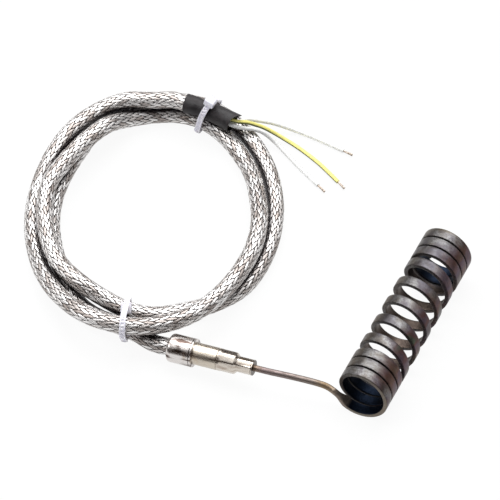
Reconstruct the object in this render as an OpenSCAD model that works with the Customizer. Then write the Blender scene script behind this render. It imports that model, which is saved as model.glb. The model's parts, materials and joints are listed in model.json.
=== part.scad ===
// Coil heater: a flat heating strip wound on a nozzle bore, with a crimped connector and a braided lead.
// Millimetres. Origin on the bore axis at the lead end of the coil, +Y along the bore, +Z up, lying on its side.

/* [Coil] */
// Diameter of the nozzle that the coil slides over
bore_d = 17.0; // [12:0.5:30]
// Thickness of the flat strip, across its face
strip_t = 1.6; // [1.2:0.1:3]
// Width of the flat strip, along the bore
strip_w = 4.2; // [2.5:0.1:6]
// Gap between two closed turns
turn_gap = 0.45; // [0.42:0.01:2]
// Distance from turn to turn in the open part
open_pitch = 9.7; // [7:0.1:16]
// Closed turns at the lead end
near_turns = 2.95; // [2:0.05:5]
// Open turns in the middle
open_turns = 5.2; // [3:0.05:8]
// Closed turns at the far end
far_turns = 2.85; // [2:0.05:5]
// Part of a turn over which the pitch changes
pitch_ramp = 0.3; // [0.1:0.05:0.6]
// Angle at which the strip leaves the coil, from +X
leave_angle = -131; // [-150:1:-90]

/* [Inside the strip] */
// Wall of the metal sheath
sheath_wall = 0.4; // [0.25:0.05:0.6]
// Space left round what fills the sheath
fill_gap = 0.03; // [0.02:0.01:0.06]
// Side of the square resistance wire
heat_wire = 0.36; // [0.2:0.02:0.5]
// Distance between the two legs of the resistance wire
leg_spacing = 1.5; // [1:0.1:2.2]
// Length of the plug welded in the far end
plug_len = 2.0; // [1:0.1:4]

/* [Cold tail] */
// Diameter of the tail where it is round
tail_d = 2.4; // [2:0.1:3.2]
// Diameter of each cold pin
pin_d = 0.46; // [0.36:0.02:0.5]
// Distance between the pins in the tail
pin_spacing = 0.8; // [0.7:0.02:0.84]

/* [Connector] */
// Length from the collar's rear face to the nose's mouth
connector_len = 33; // [28:0.5:40]
// Diameter of the rear collar
collar_d = 10.7; // [9.5:0.1:14]
// Length of the rear collar
collar_len = 9.8; // [7:0.1:14]
// Length of cable held inside the collar
cable_grip = 5.4; // [3:0.1:6]
// Diameter of the barrel
barrel_d = 8.24; // [7.6:0.02:9]
// Bore of the barrel
barrel_bore = 6.8; // [6:0.05:7]
// Distance from the collar's rear face to the joint of barrel and nose
nose_joint = 19.3; // [17:0.1:22]
// Length of the nose's spigot inside the barrel
spigot_len = 3.5; // [2:0.1:5]
// Diameter of the nose's spigot
spigot_d = 7.5; // [7.2:0.05:7.7]
// Length of the crimped part of the nose
crimp_len = 6.1; // [4:0.1:8]
// Diameter of the crimped part of the nose
crimp_d = 5.9; // [4.5:0.05:6.5]
// Distance across two crimp flats
crimp_flats = 5.6; // [4:0.05:6]
// Length of the cone between barrel and crimp
shoulder_len = 0.9; // [0.5:0.1:2]
// Clearance of the connector's slip fits, on the diameter
slip = 0.1; // [0.06:0.02:0.2]
// Turn of the connector from +X, seen from above
connector_yaw = 4.5; // [0:0.5:12]
// Rise of the connector towards its nose
connector_rise = 5.8; // [0:0.1:9]
// Place of the connector's rear face along X
rear_x = -73.6; // [-80:0.1:-70]
// Place of the connector's rear face along Y
rear_y = -5.2; // [-10:0.1:-4]

/* [Splices] */
// Length of each crimp splice
splice_len = 7; // [5:0.5:8]
// Outer diameter of each crimp splice
splice_d = 1.9; // [1.6:0.1:2.1]
// Bore of each crimp splice
splice_bore = 1.1; // [1:0.05:1.2]
// Diameter of the sleeve over each splice
splice_sleeve_d = 2.6; // [2.3:0.1:2.8]
// Sideways place of each splice from the axis
splice_side = 1.55; // [1.4:0.05:1.8]
// Thickness of the earth disc
earth_disc_t = 1.2; // [0.8:0.1:2]
// Diameter of the glass bead on the tail's end
bead_d = 3.8; // [3.4:0.1:4.2]
// Length of the glass bead
bead_len = 2.6; // [2:0.1:4]

/* [Lead] */
// Diameter of the braided lead
cable_d = 6.6; // [6:0.1:6.6]
// Wall of the braid
braid_wall = 0.6; // [0.4:0.05:0.8]
// Diameter of each insulated wire
wire_d = 1.6; // [1.3:0.05:1.7]
// Diameter of the conductor in each wire
conductor_d = 0.8; // [0.5:0.05:0.9]
// Distance from the lead's centre to each wire's centre
wire_ring = 1.15; // [1.1:0.05:1.3]
// Bare conductor at each free end
bare_len = 4; // [2:0.5:8]
// Wall of the heat-shrink sleeve
shrink_wall = 0.3; // [0.2:0.05:0.6]
// Space between heat-shrink and braid
shrink_gap = 0.12; // [0.1:0.01:0.2]
// Width of a cable tie
tie_w = 2.2; // [1.8:0.1:3.5]
// Thickness of a cable tie's strap
tie_t = 1.0; // [0.8:0.1:1.2]
// Space between a tie and the strands that it holds
tie_gap = 0.25; // [0.2:0.05:0.4]
// Side of a cable tie's head
tie_head = 4.0; // [3:0.1:5]
// Height of a cable tie's head above the middle of its strap
tie_head_h = 3.0; // [2:0.1:4]

/* [Loop] */
// Half length of the coiled lead's oval
loop_a = 52.9; // [48:0.1:60]
// Half width of the coiled lead's oval
loop_b = 42.3; // [38:0.1:50]
// Direction of the oval's long axis from +X
loop_tilt = 107.7; // [90:0.1:130]
// Centre of the oval along X
loop_x = -108.5; // [-115:0.1:-104]
// Centre of the oval along Y
loop_y = 50.9; // [45:0.1:55]
// Distance from the oval to each of the two lower strands
strand_side = 3.55; // [3.55:0.01:4]

/* [Hidden] */
$fn = 96;
bore_r = bore_d / 2;
coil_r = bore_r + strip_t;
coil_mid_r = bore_r + strip_t / 2;
floor_z = -coil_r;
closed_pitch = strip_w + turn_gap;
turns = near_turns + open_turns + far_turns;
rings_per_turn = 12;

// Rise of a linear ramp that starts at 0 and is fully on after pitch_ramp turns
function ramp_area(x) = x <= 0 ? 0 : x < pitch_ramp ? x * x / (2 * pitch_ramp) : x - pitch_ramp / 2;
// Place of the strip's centre along the bore, after t turns
function strip_y(t) = strip_w / 2 + closed_pitch * t + (open_pitch - closed_pitch)
    * (ramp_area(t - near_turns) - ramp_area(t - (near_turns + open_turns - pitch_ramp)));
function strip_angle(t) = leave_angle + 360 * t;
function strip_point(t, r = coil_mid_r, shift = 0) =
    [r * cos(strip_angle(t)), strip_y(t) + shift, r * sin(strip_angle(t))];
coil_len = strip_y(turns) + strip_w / 2;

function unit(v) = v / norm(v);
function smooth(x) = let (c = min(max(x, 0), 1)) c * c * (3 - 2 * c);
function tangent(p, i) = unit(p[min(i + 1, len(p) - 1)] - p[max(i - 1, 0)]);

// Faces between rings of n points, from ring a0 of m rings, as triangles; flip turns them inwards
function skin(n, m, a0 = 0, flip = false) = [for (i = [0:m - 2], k = [0:n - 1])
    let (a = a0 + i * n + k, b = a0 + i * n + (k + 1) % n, c = b + n, d = a + n)
    each flip ? [[a, c, b], [a, d, c]] : [[a, b, c], [a, c, d]]];
function cap(n, a0, flip) = [for (k = [1:n - 2]) flip ? [a0, a0 + k + 1, a0 + k] : [a0, a0 + k, a0 + k + 1]];

// Solid through a list of rings, each of n points
module loft(rings) {
    n = len(rings[0]);
    m = len(rings);
    polyhedron([for (r = rings) each r], concat(skin(n, m), cap(n, 0, true), cap(n, n * (m - 1), false)));
}

// Hollow solid through outer rings of n points and inner rings of n or n / 2 points
module hollow_loft(outer, inner) {
    n = len(outer[0]);
    q = len(inner[0]);
    m = len(outer);
    step = n / q;
    i0 = n * m;
    lid = function(o, i, flip) [for (k = [0:q - 1])
        let (a = i + k, b = i + (k + 1) % q, c = o + k * step, e = o + ((k + 1) * step) % n,
            h = o + k * step + 1)
        each step == 1
            ? [flip ? [a, b, c] : [a, c, b], flip ? [c, b, e] : [c, e, b]]
            : [flip ? [a, h, c] : [a, c, h], flip ? [a, b, h] : [a, h, b], flip ? [b, e, h] : [b, h, e]]];
    polyhedron([each [for (r = outer) each r], each [for (r = inner) each r]],
        concat(skin(n, m), skin(q, m, i0, true), lid(0, i0, true), lid(n * (m - 1), i0 + q * (m - 1), false)));
}

// Round rings of n sides along a path that lies nearly flat
function round_rings(p, r, n) = [for (i = [0:len(p) - 1])
    let (t = tangent(p, i), side = unit(cross(t, [0, 0, 1])), up = cross(side, t))
    [for (k = [0:n - 1]) p[i] + r * (side * cos(360 * k / n) + up * sin(360 * k / n))]];
// A path beside another one, moved by off in the other's own cross-section
function beside(p, off) = [for (i = [0:len(p) - 1])
    let (t = tangent(p, i), side = unit(cross(t, [0, 0, 1]))) p[i] + side * off.x + cross(side, t) * off.y];
// Smooth curve through hand-chosen points
function curve(p, steps) = [for (i = [0:len(p) - 2], s = [0:steps - 1]) spline(p, i, s / steps), p[len(p) - 1]];
function spline(p, i, u) = let (a = p[max(i - 1, 0)], b = p[i], c = p[i + 1], d = p[min(i + 2, len(p) - 1)])
    0.5 * (2 * b + u * (c - a) + u * u * (2 * a - 5 * b + 4 * c - d) + u * u * u * (3 * b - a - 3 * c + d));

// Places along the strip where every band has a ring, so that nested bands keep their clearance
function station(k) = let (t = k / rings_per_turn, near = 0.5 / rings_per_turn)
    abs(t - split_near) < near ? split_near : abs(t - split_far) < near ? split_far : t;
function stations(t0, t1) = concat([t0], [for (k = [floor(t0 * rings_per_turn):ceil(t1 * rings_per_turn)])
    if (station(k) > t0 + 0.001 && station(k) < t1 - 0.001) station(k)], [t1]);
// Band of the coil between turns t0 and t1: exact inner and outer walls, flat ends
module band(t0, t1, r0, r1, w, shift = 0) {
    over = 1.0;
    intersection() {
        rotate([-90, 0, 0]) difference() {
            translate([0, 0, -strip_w]) cylinder(r = r1, h = coil_len + 2 * strip_w);
            translate([0, 0, -strip_w - over]) cylinder(r = r0, h = coil_len + 2 * strip_w + 2 * over);
        }
        loft([for (t = stations(t0, t1))
            let (y = strip_y(t) + shift, a = strip_angle(t), lo = bore_r - over, hi = coil_r + over)
            [for (c = [[lo, -w / 2], [lo, w / 2], [hi, w / 2], [hi, -w / 2]])
                [c[0] * cos(a), y + c[1], c[0] * sin(a)]]]);
    }
}
module sheath_band(t0, t1) band(t0, t1, bore_r, coil_r, strip_w);
module cavity_band(t0, t1, gap = 0)
    band(t0, t1, bore_r + sheath_wall + gap, coil_r - sheath_wall - gap, strip_w - 2 * (sheath_wall + gap));
module heat_leg(shift, t0, t1, gap = 0)
    band(t0, t1, coil_mid_r - heat_wire / 2 - gap, coil_mid_r + heat_wire / 2 + gap, heat_wire + 2 * gap,
        shift);

// Turns in a length along the strip
function as_turns(l) = l / (2 * PI * coil_mid_r);
split_near = near_turns;
split_far = near_turns + open_turns;
fill_end = turns - as_turns(plug_len + 0.2);
hairpin_end = fill_end - as_turns(1.0);
pin_start = as_turns(1.0);
heat_start = as_turns(1.6);

// Connector frame: x from its rear face to the nose, y sideways, z up
conn_d = [cos(connector_yaw) * cos(connector_rise), sin(connector_yaw) * cos(connector_rise),
    sin(connector_rise)];
conn_y = [-sin(connector_yaw), cos(connector_yaw), 0];
conn_z = cross(conn_d, conn_y);
rear = [rear_x, rear_y, floor_z + collar_d / 2 * cos(connector_rise)];
function conn(x, y = 0, z = 0) = rear + conn_d * x + conn_y * y + conn_z * z;
module in_connector() translate(rear) rotate([0, -connector_rise, connector_yaw]) rotate([0, 90, 0]) children();
// Solid of revolution and pieces along the connector's axis, at a sideways place
module along(x0, x1, d, y = 0, z = 0) in_connector() translate([-z, y, x0]) cylinder(d = d, h = x1 - x0);

crimp_start = connector_len - crimp_len;
shoulder_start = crimp_start - shoulder_len;
tail_end_x = crimp_start - 0.4;
bead_start = tail_end_x - bead_len / 2;
splice_x = cable_grip + 7.8;
wire_z = -wire_ring / 2;
earth_x = cable_grip + 4.2;
tail_hole = tail_d + slip;
crimp_sides = 8;

// Tail: from the coil along its tangent, over a low arch and into the nose
leave_dir = unit([sin(leave_angle), -closed_pitch / (2 * PI * coil_mid_r), -cos(leave_angle)]);
tail_bend = [[-14.2, 1.9, 7.9], [-19.8, 0.6, 9.1], [-27.5, -0.8, 9.3]];
tail_spine = concat([strip_point(0) + 6 * leave_dir],
    [for (p = tail_bend) [p.x, p.y, floor_z + p.z]], [conn(connector_len + 6), conn(connector_len)]);
tail_path = concat([strip_point(pin_start), strip_point(0), strip_point(0) + 3 * leave_dir],
    curve(tail_spine, 3), [conn(tail_end_x)]);
tail_round_at = 2.5;
function tail_roundness(i) = smooth((i - 1) / (tail_round_at - 1));

// Eight points of a ring that goes from the flat strip's section to a round one
function tail_ring(i, w, t, d, path = tail_path) =
    let (dir = tangent(path, i), m = tail_roundness(i),
        wide = unit([0, 1, 0] - dir.y * dir), thick = cross(wide, dir))
    [for (k = [0:7]) let (c = cos(45 * k), s = sin(45 * k),
        flat = [w / 2 * sign(round(c * 10)), t / 2 * sign(round(s * 10))], q = flat * (1 - m)
            + [c, s] * d / 2 * m)
        path[i] + wide * q.x + thick * q.y];
function tail_rings(w, t, d) = [for (i = [0:len(tail_path) - 1]) tail_ring(i, w, t, d)];
tail_inset = 0.05;
tail_bore = tail_d - 2 * sheath_wall;
fill_w = strip_w - 2 * (sheath_wall + fill_gap);
fill_t = strip_t - 2 * (sheath_wall + fill_gap);

// Pins: through the tail side by side, then apart to the splices
function pin_path(side) = concat(
    [for (i = [0:len(tail_path) - 2]) let (dir = tangent(tail_path, i), wide = unit([0, 1, 0] - dir.y * dir),
        m = tail_roundness(i)) tail_path[i] + wide * side * (leg_spacing * (1 - m) + pin_spacing * m) / 2],
    [conn(tail_end_x, side * pin_spacing / 2), conn(bead_start - 0.4, side * pin_spacing / 2),
     conn(splice_x + splice_len + 0.6, side * splice_side, wire_z),
         conn(splice_x + splice_len - 3.2, side * splice_side, wire_z)]);

// Lead: out of the collar, two turns and a half on the floor, up onto the others, into the heat-shrink
loop_start = -90.5;
loop_rings = 24;
cable_low = cable_d / 2 * cos(30);
askew_room = 0.21;
tie_lift = tie_t + tie_gap + askew_room + cable_d / 2 - cable_low;
lower_tie_at = 23;
upper_tie_at = 12;
first_ring = 1;
last_ring = 58;
function bump(x, w) = exp(-x * x / (w * w));
// Lie of the lead round the loop: turns from its start, distance out from the oval, height above its lowest run
lead_lie = [[0, 1.5, 0], [0.12, -strand_side, 0], [0.265, -strand_side, 0], [0.385, strand_side, 0],
    [0.5, 2.75, 0], [0.62, 2.7, 0], [0.78, strand_side, 0], [0.89, -2.6, 0], [0.93, -2.4, 0],
    [0.96, -3.3, 0.9], [1, -4, 3.4], [1.05, -2.2, 7.2], [1.1, -1.3, 7.2], [1.2, -1.3, 7.2],
    [1.27, -5, 7.1], [1.33, -6, 6.8], [1.4, -3.65, 0], [1.5, -4.4, 0], [1.56, -4.65, 0],
    [1.66, -4, 3.6], [1.73, -1, 6.2], [1.8, 1.6, 7.2], [1.96, 9.2, 7.8], [1.985, 9, 7.8],
    [2.06, 5.4, 4.2], [2.14, strand_side, 0.2], [2.2, strand_side, 0.2], [2.29, 2.1, 7.1],
    [2.36, 1.3, 7.1], [2.45, -3.8, 7.1]];
// Smooth line through one column j of it that doesn't overshoot
function lie_step(i, j) = (lead_lie[i + 1][j] - lead_lie[i][j]) / (lead_lie[i + 1][0] - lead_lie[i][0]);
function lie_slope(i, j) = i == 0 || i == len(lead_lie) - 1 ? 0
    : let (a = lie_step(i - 1, j), b = lie_step(i, j)) a * b <= 0 ? 0 : 2 * a * b / (a + b);
function lie(s, j) = let (i = max([for (k = [0:len(lead_lie) - 2]) if (k == 0 || lead_lie[k][0] <= s) k]),
        h = lead_lie[i + 1][0] - lead_lie[i][0], u = (s - lead_lie[i][0]) / h)
    lead_lie[i][j] + h * lie_step(i, j) * smooth(u)
    + h * u * (1 - u) * (lie_slope(i, j) * (1 - u) - lie_slope(i + 1, j) * u);
function tie_hop(s) = tie_lift * (bump(s - floor(s + 0.5) - lower_tie_at / loop_rings + 1, 0.06)
    + bump(s - floor(s) - 0.5, 0.06));
function loop_point(s) = let (e = lie(s, 1), a = loop_start - loop_tilt - 360 * s,
        u = (loop_a + e) * cos(a), v = (loop_b + e) * sin(a))
    [loop_x + cos(loop_tilt) * u - sin(loop_tilt) * v, loop_y + sin(loop_tilt) * u + cos(loop_tilt) * v,
     floor_z + cable_low + lie(s, 2) + tie_hop(s)];
lead_in = [[-88, -4.5, 4.7], [-95.5, -4.2, 4.8], [-104, -3.6, 3.9], [-111.5, -1.5, 3.1]];
lead_out = [[-124.5, 98, 11.4], [-119, 98.2, 12], [-113, 98.6, 12.1], [-107, 98.4, 12]];
shrink_mouth = [-98.9, 97.7, 11.5];
function lift(list) = [for (p = list) [p.x, p.y, floor_z + p.z]];
cable_path = concat([conn(cable_grip), conn(0), conn(-cable_d)], lift(lead_in),
    [for (k = [first_ring:last_ring]) loop_point(k / loop_rings)], lift(lead_out));
shrink_path = concat([for (i = [len(cable_path) - len(lead_out) + 1:len(cable_path) - 1]) cable_path[i]],
    lift([shrink_mouth]));
wire_core = concat(cable_path, lift([shrink_mouth]));

// Free ends of the wires on the floor, from the heat-shrink's mouth
earth_free = [[-94.4, 100.9, 10.4], [-89.2, 104.7, 6.2], [-82.1, 106.6, 1.8], [-73.7, 105.2, 0.8],
    [-63.5, 101.5, 0.8], [-53.6, 96.6, 0.8]];
power_1_free = [[-94, 98.9, 9.2], [-88.8, 102, 6.7], [-82.6, 102.8, 1.9], [-71, 97.2, 0.8], [-59.7, 91.7, 0.8]];
power_2_free = [[-95.6, 104.4, 7.8], [-88.5, 109.6, 4.2], [-79.3, 112.4, 1.3], [-68.7, 112.5, 0.8],
    [-58.3, 111.6, 0.8]];
wire_off = [[0, wire_ring], [wire_ring * cos(30), wire_z], [-wire_ring * cos(30), wire_z]];
function wire_tail(list) = curve(lift(list), 2);
earth_inside = [conn(earth_x - 0.6, 0, wire_ring)];
function power_inside(side) = [conn(splice_x - 0.3, side * splice_side, wire_z),
    conn(earth_x - 1, side * splice_side, wire_z)];
earth_path = concat(earth_inside, beside(wire_core, wire_off[0]), wire_tail(earth_free));
power_1_path = concat(power_inside(1), beside(wire_core, wire_off[1]), wire_tail(power_1_free));
power_2_path = concat(power_inside(-1), beside(wire_core, wire_off[2]), wire_tail(power_2_free));
// A wire's path with its bare conductor at both ends
function bared(p, inner) = concat([p[0] + unit(p[0] - p[1]) * inner], p,
    [p[len(p) - 1] + unit(p[len(p) - 1] - p[len(p) - 2]) * bare_len]);

// Least gap between runs of a path that lie more than a stretch apart
function path_arc(p, i = 0, s = 0) = i >= len(p) ? [] : concat([s],
    path_arc(p, i + 1, i + 1 < len(p) ? s + norm(p[i + 1] - p[i]) : s));
function least_gap(p, d, apart) = let (arc = path_arc(p))
    min([for (i = [0:len(p) - 1], j = [i + 1:max(i + 1, len(p) - 1)]) if (j < len(p) && arc[j] - arc[i] > apart)
        norm(p[i] - p[j])]) - d;
fine_lead = curve(cable_path, 4);
echo(lead_length = path_arc(fine_lead)[len(fine_lead) - 1]);
echo(lead_least_gap = least_gap(fine_lead, cable_d, 6 * cable_d));
echo(coil_least_gap = min([for (t = [0:0.05:turns - 1]) strip_y(t + 1) - strip_y(t) - strip_w]));

// Closed turns at the lead end, running out into the tail
module coil_near_turns() color([0.45, 0.43, 0.42]) {
    union() {
        difference() {
            sheath_band(0, split_near);
            cavity_band(-0.05, split_near + 0.05);
        }
        hollow_loft(tail_rings(strip_w - 2 * tail_inset, strip_t - 2 * tail_inset, tail_d),
            tail_rings(fill_w + 4 * fill_gap, fill_t + 4 * fill_gap, tail_bore));
    }
}

// Open turns in the middle
module coil_open_turns() color([0.5, 0.46, 0.43]) difference() {
    sheath_band(split_near, split_far);
    cavity_band(split_near - 0.05, split_far + 0.05);
}

// Closed turns at the far end
module coil_far_turns() color([0.47, 0.45, 0.42]) difference() {
    sheath_band(split_far, turns);
    cavity_band(split_far - 0.05, turns + 0.05);
}

// Plug welded into the open end of the sheath
module end_plug() color([0.7, 0.65, 0.6]) cavity_band(turns - as_turns(plug_len), turns, fill_gap);

// Pressed magnesia that fills the sheath round the wire and the pins
module mgo_filling() color([0.93, 0.92, 0.88]) difference() {
    union() {
        cavity_band(0, fill_end, fill_gap);
        loft(tail_rings(fill_w - 2 * tail_inset, fill_t - 2 * tail_inset, tail_bore - 2 * fill_gap));
    }
    for (s = [-1, 1]) {
        heat_leg(s * leg_spacing / 2, heat_start - 0.02, hairpin_end, fill_gap);
        loft(round_rings(pin_path(s), pin_d / 2 + fill_gap, 4));
    }
    hairpin_bridge(fill_gap);
}

// Cross piece that joins the two legs at the far end
module hairpin_bridge(gap = 0) band(hairpin_end - as_turns(heat_wire) - as_turns(gap),
    hairpin_end + as_turns(gap),
    coil_mid_r - heat_wire / 2 - gap, coil_mid_r + heat_wire / 2 + gap, leg_spacing + heat_wire + 2 * gap);

// Resistance wire, down one side of the strip and back up the other
module resistance_wire() color([0.75, 0.4, 0.25]) union() {
    for (s = [-1, 1]) heat_leg(s * leg_spacing / 2, heat_start, hairpin_end);
    hairpin_bridge();
}

module cold_pin(side) loft(round_rings(pin_path(side), pin_d / 2, 4));
module cold_pin_1() color([0.8, 0.8, 0.82]) cold_pin(1);
module cold_pin_2() color([0.8, 0.8, 0.82]) cold_pin(-1);

// Glass bead that closes the end of the tail
module glass_bead() color([0.5, 0.65, 0.6]) difference() {
    along(bead_start, bead_start + bead_len, bead_d);
    along(bead_start + bead_len / 2 - 0.05, bead_start + bead_len + 1, tail_hole);
    for (s = [-1, 1]) along(bead_start - 1, bead_start + bead_len, pin_d + 2 * slip, s * pin_spacing / 2);
}

// Stepped nose: spigot, band, cone and crimp on the tail with eight flats
module nose_ferrule() color([0.82, 0.8, 0.74]) in_connector() difference() {
    union() {
        translate([0, 0, nose_joint - spigot_len]) cylinder(d = spigot_d, h = spigot_len + 0.5);
        translate([0, 0, nose_joint]) cylinder(d = barrel_d, h = shoulder_start - nose_joint);
        translate([0, 0, shoulder_start]) cylinder(d1 = barrel_d, d2 = crimp_d, h = shoulder_len);
        translate([0, 0, crimp_start]) intersection() {
            cylinder(d = crimp_d, h = crimp_len);
            linear_extrude(crimp_len) circle(d = crimp_flats / cos(180 / crimp_sides), $fn = crimp_sides);
        }
    }
    translate([0, 0, nose_joint - spigot_len - 1]) cylinder(d = barrel_bore,
        h = spigot_len + shoulder_start - nose_joint);
    translate([0, 0, shoulder_start - 1.2]) cylinder(d = tail_hole, h = connector_len);
    translate([0, 0, shoulder_start - 1.2]) cylinder(d = bead_d + slip,
        h = bead_start + bead_len - shoulder_start + 1.3);
}

// Barrel that joins collar and nose
module connector_barrel() color([0.78, 0.78, 0.76]) in_connector() difference() {
    translate([0, 0, cable_grip]) cylinder(d = barrel_d, h = nose_joint - cable_grip);
    translate([0, 0, cable_grip - 1]) cylinder(d = barrel_bore, h = connector_len);
    translate([0, 0, nose_joint - spigot_len]) cylinder(d = spigot_d + slip, h = connector_len);
}

// Collar crimped over the end of the braid and the barrel
module rear_collar() color([0.85, 0.85, 0.84]) in_connector() difference() {
    cylinder(d = collar_d, h = collar_len);
    translate([0, 0, -1]) cylinder(d = cable_d + slip, h = collar_len);
    translate([0, 0, cable_grip]) cylinder(d = barrel_d + slip, h = collar_len);
}

// Cement that fills the barrel round the splices
module potting() color([0.85, 0.8, 0.7]) difference() {
    along(earth_x + earth_disc_t + 0.05, splice_x + splice_len + 0.5, barrel_bore - slip);
    for (s = [-1, 1]) {
        along(earth_x, connector_len, splice_sleeve_d + slip, s * splice_side, wire_z);
    }
}

module splice(side) difference() {
    along(splice_x, splice_x + splice_len, splice_d, side * splice_side, wire_z);
    along(splice_x - 1, splice_x + splice_len + 1, splice_bore, side * splice_side, wire_z);
}
module splice_1() color([0.72, 0.72, 0.75]) splice(1);
module splice_2() color([0.72, 0.72, 0.75]) splice(-1);

module splice_sleeve(side) difference() {
    along(splice_x - 0.5, splice_x + splice_len + 0.5, splice_sleeve_d, side * splice_side, wire_z);
    along(splice_x - 1, splice_x + splice_len + 1, splice_d + slip, side * splice_side, wire_z);
}
module splice_sleeve_1() color([0.9, 0.88, 0.8]) splice_sleeve(1);
module splice_sleeve_2() color([0.9, 0.88, 0.8]) splice_sleeve(-1);

// Disc that bonds the earth conductor to the barrel
module earth_disc() color([0.8, 0.6, 0.35]) difference() {
    along(earth_x, earth_x + earth_disc_t, barrel_bore - slip);
    along(earth_x - 1, earth_x + earth_disc_t + 1, conductor_d + slip, 0, wire_ring);
    for (s = [-1, 1]) along(earth_x - 1, earth_x + earth_disc_t + 1, wire_d + 2 * slip, s * splice_side,
        wire_z);
}

// Metal braid of the lead, coiled
module braid_sleeve() color([0.75, 0.75, 0.75]) hollow_loft(round_rings(cable_path, cable_d / 2, 6),
    round_rings(cable_path, cable_d / 2 - braid_wall, 6));

// Insulated wire: hollow along its whole length for its conductor
module insulation(p) hollow_loft(round_rings(p, wire_d / 2, 6), round_rings(p, conductor_d / 2 + fill_gap, 3));
module earth_wire() color([0.85, 0.8, 0.2]) insulation(earth_path);
module power_wire_1() color([0.95, 0.95, 0.93]) insulation(power_1_path);
module power_wire_2() color([0.95, 0.95, 0.93]) insulation(power_2_path);

module conductor(p, inner) loft(round_rings(bared(p, inner), conductor_d / 2, 3));
module earth_conductor() color([0.8, 0.5, 0.3]) conductor(earth_path, earth_disc_t + 0.6);
module power_conductor_1() color([0.8, 0.5, 0.3]) conductor(power_1_path, 3);
module power_conductor_2() color([0.8, 0.5, 0.3]) conductor(power_2_path, 3);

// Heat-shrink sleeve over the end of the braid
module heat_shrink() color([0.15, 0.13, 0.13]) hollow_loft(
    round_rings(shrink_path, cable_d / 2 + shrink_gap + shrink_wall, 6),
        round_rings(shrink_path, cable_d / 2 + shrink_gap, 6));

// Cable tie round strands given by centre and radius, wrapped askew by a turn and a tilt from square to them
module tie(centres, radii, dir, skew, head_at, head_angle) {
    turned = [cos(skew.x) * dir.x - sin(skew.x) * dir.y, sin(skew.x) * dir.x + cos(skew.x) * dir.y, 0];
    axis = cos(skew.y) * turned + [0, 0, sin(skew.y)];
    square = axis * dir;
    side = unit(cross(axis, [0, 0, 1]));
    up = cross(side, axis);
    c0 = centres[0];
    flat = [for (c = centres) let (q = c - c0 - dir * ((c - c0) * axis) / square) [q * side, q * up]];
    room = [for (r = radii) r / square + tie_w / 2 * tan(acos(square)) + tie_gap];
    multmatrix([[side.x, up.x, -axis.x, c0.x], [side.y, up.y, -axis.y, c0.y], [side.z, up.z, -axis.z, c0.z],
        [0, 0, 0, 1]])
    translate([0, 0, -tie_w / 2]) {
        linear_extrude(tie_w) difference() {
            hull() for (i = [0:len(flat) - 1]) translate(flat[i]) circle(r = room[i] + tie_t, $fn = 24);
            hull() for (i = [0:len(flat) - 1]) translate(flat[i]) circle(r = room[i], $fn = 24);
        }
        translate(flat[head_at]) rotate(head_angle - 90)
            translate([-tie_head / 2, room[head_at] + tie_t / 2, (tie_w - tie_head) / 2])
            cube([tie_head, tie_head_h, tie_head]);
    }
}
function ring_dir(k) = let (d = loop_point((k + 1) / loop_rings) - loop_point((k - 1) / loop_rings))
    unit([d.x, d.y, 0]);

// Tie that holds the lead to the loop above the connector
module cable_tie_lower() color([0.95, 0.95, 0.96]) tie([loop_point(lower_tie_at / loop_rings),
    loop_point(lower_tie_at / loop_rings + 1), (lift(lead_in)[0] + lift(lead_in)[1]) / 2],
    [for (i = [0:2]) cable_d / 2], ring_dir(lower_tie_at), [12, 0], 0, 120);

// Tie that holds the heat-shrink to the loop
module cable_tie_upper() color([0.95, 0.95, 0.96]) tie([loop_point(upper_tie_at / loop_rings),
    loop_point(upper_tie_at / loop_rings + 1), lift(lead_out)[2]],
    [cable_d / 2, cable_d / 2, cable_d / 2 + shrink_gap + shrink_wall], ring_dir(upper_tie_at),
    [0, -14], 2, 90);

coil_near_turns();
coil_open_turns();
coil_far_turns();
end_plug();
mgo_filling();
resistance_wire();
cold_pin_1();
cold_pin_2();
glass_bead();
nose_ferrule();
connector_barrel();
rear_collar();
potting();
splice_1();
splice_2();
splice_sleeve_1();
splice_sleeve_2();
earth_disc();
braid_sleeve();
earth_wire();
power_wire_1();
power_wire_2();
earth_conductor();
power_conductor_1();
power_conductor_2();
heat_shrink();
cable_tie_lower();
cable_tie_upper();
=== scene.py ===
"""Coil heater with a braided lead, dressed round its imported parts.

Lengths in this file are in millimetres, in the parts' own frame, and become metres where a mesh is
made: +Y runs along the bore from the lead end, +Z is up as the heater lies on a table, and the lead
lies on the -X side.
"""

from __future__ import annotations

import json
import logging
import math
from dataclasses import dataclass, field
from enum import Enum

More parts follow.
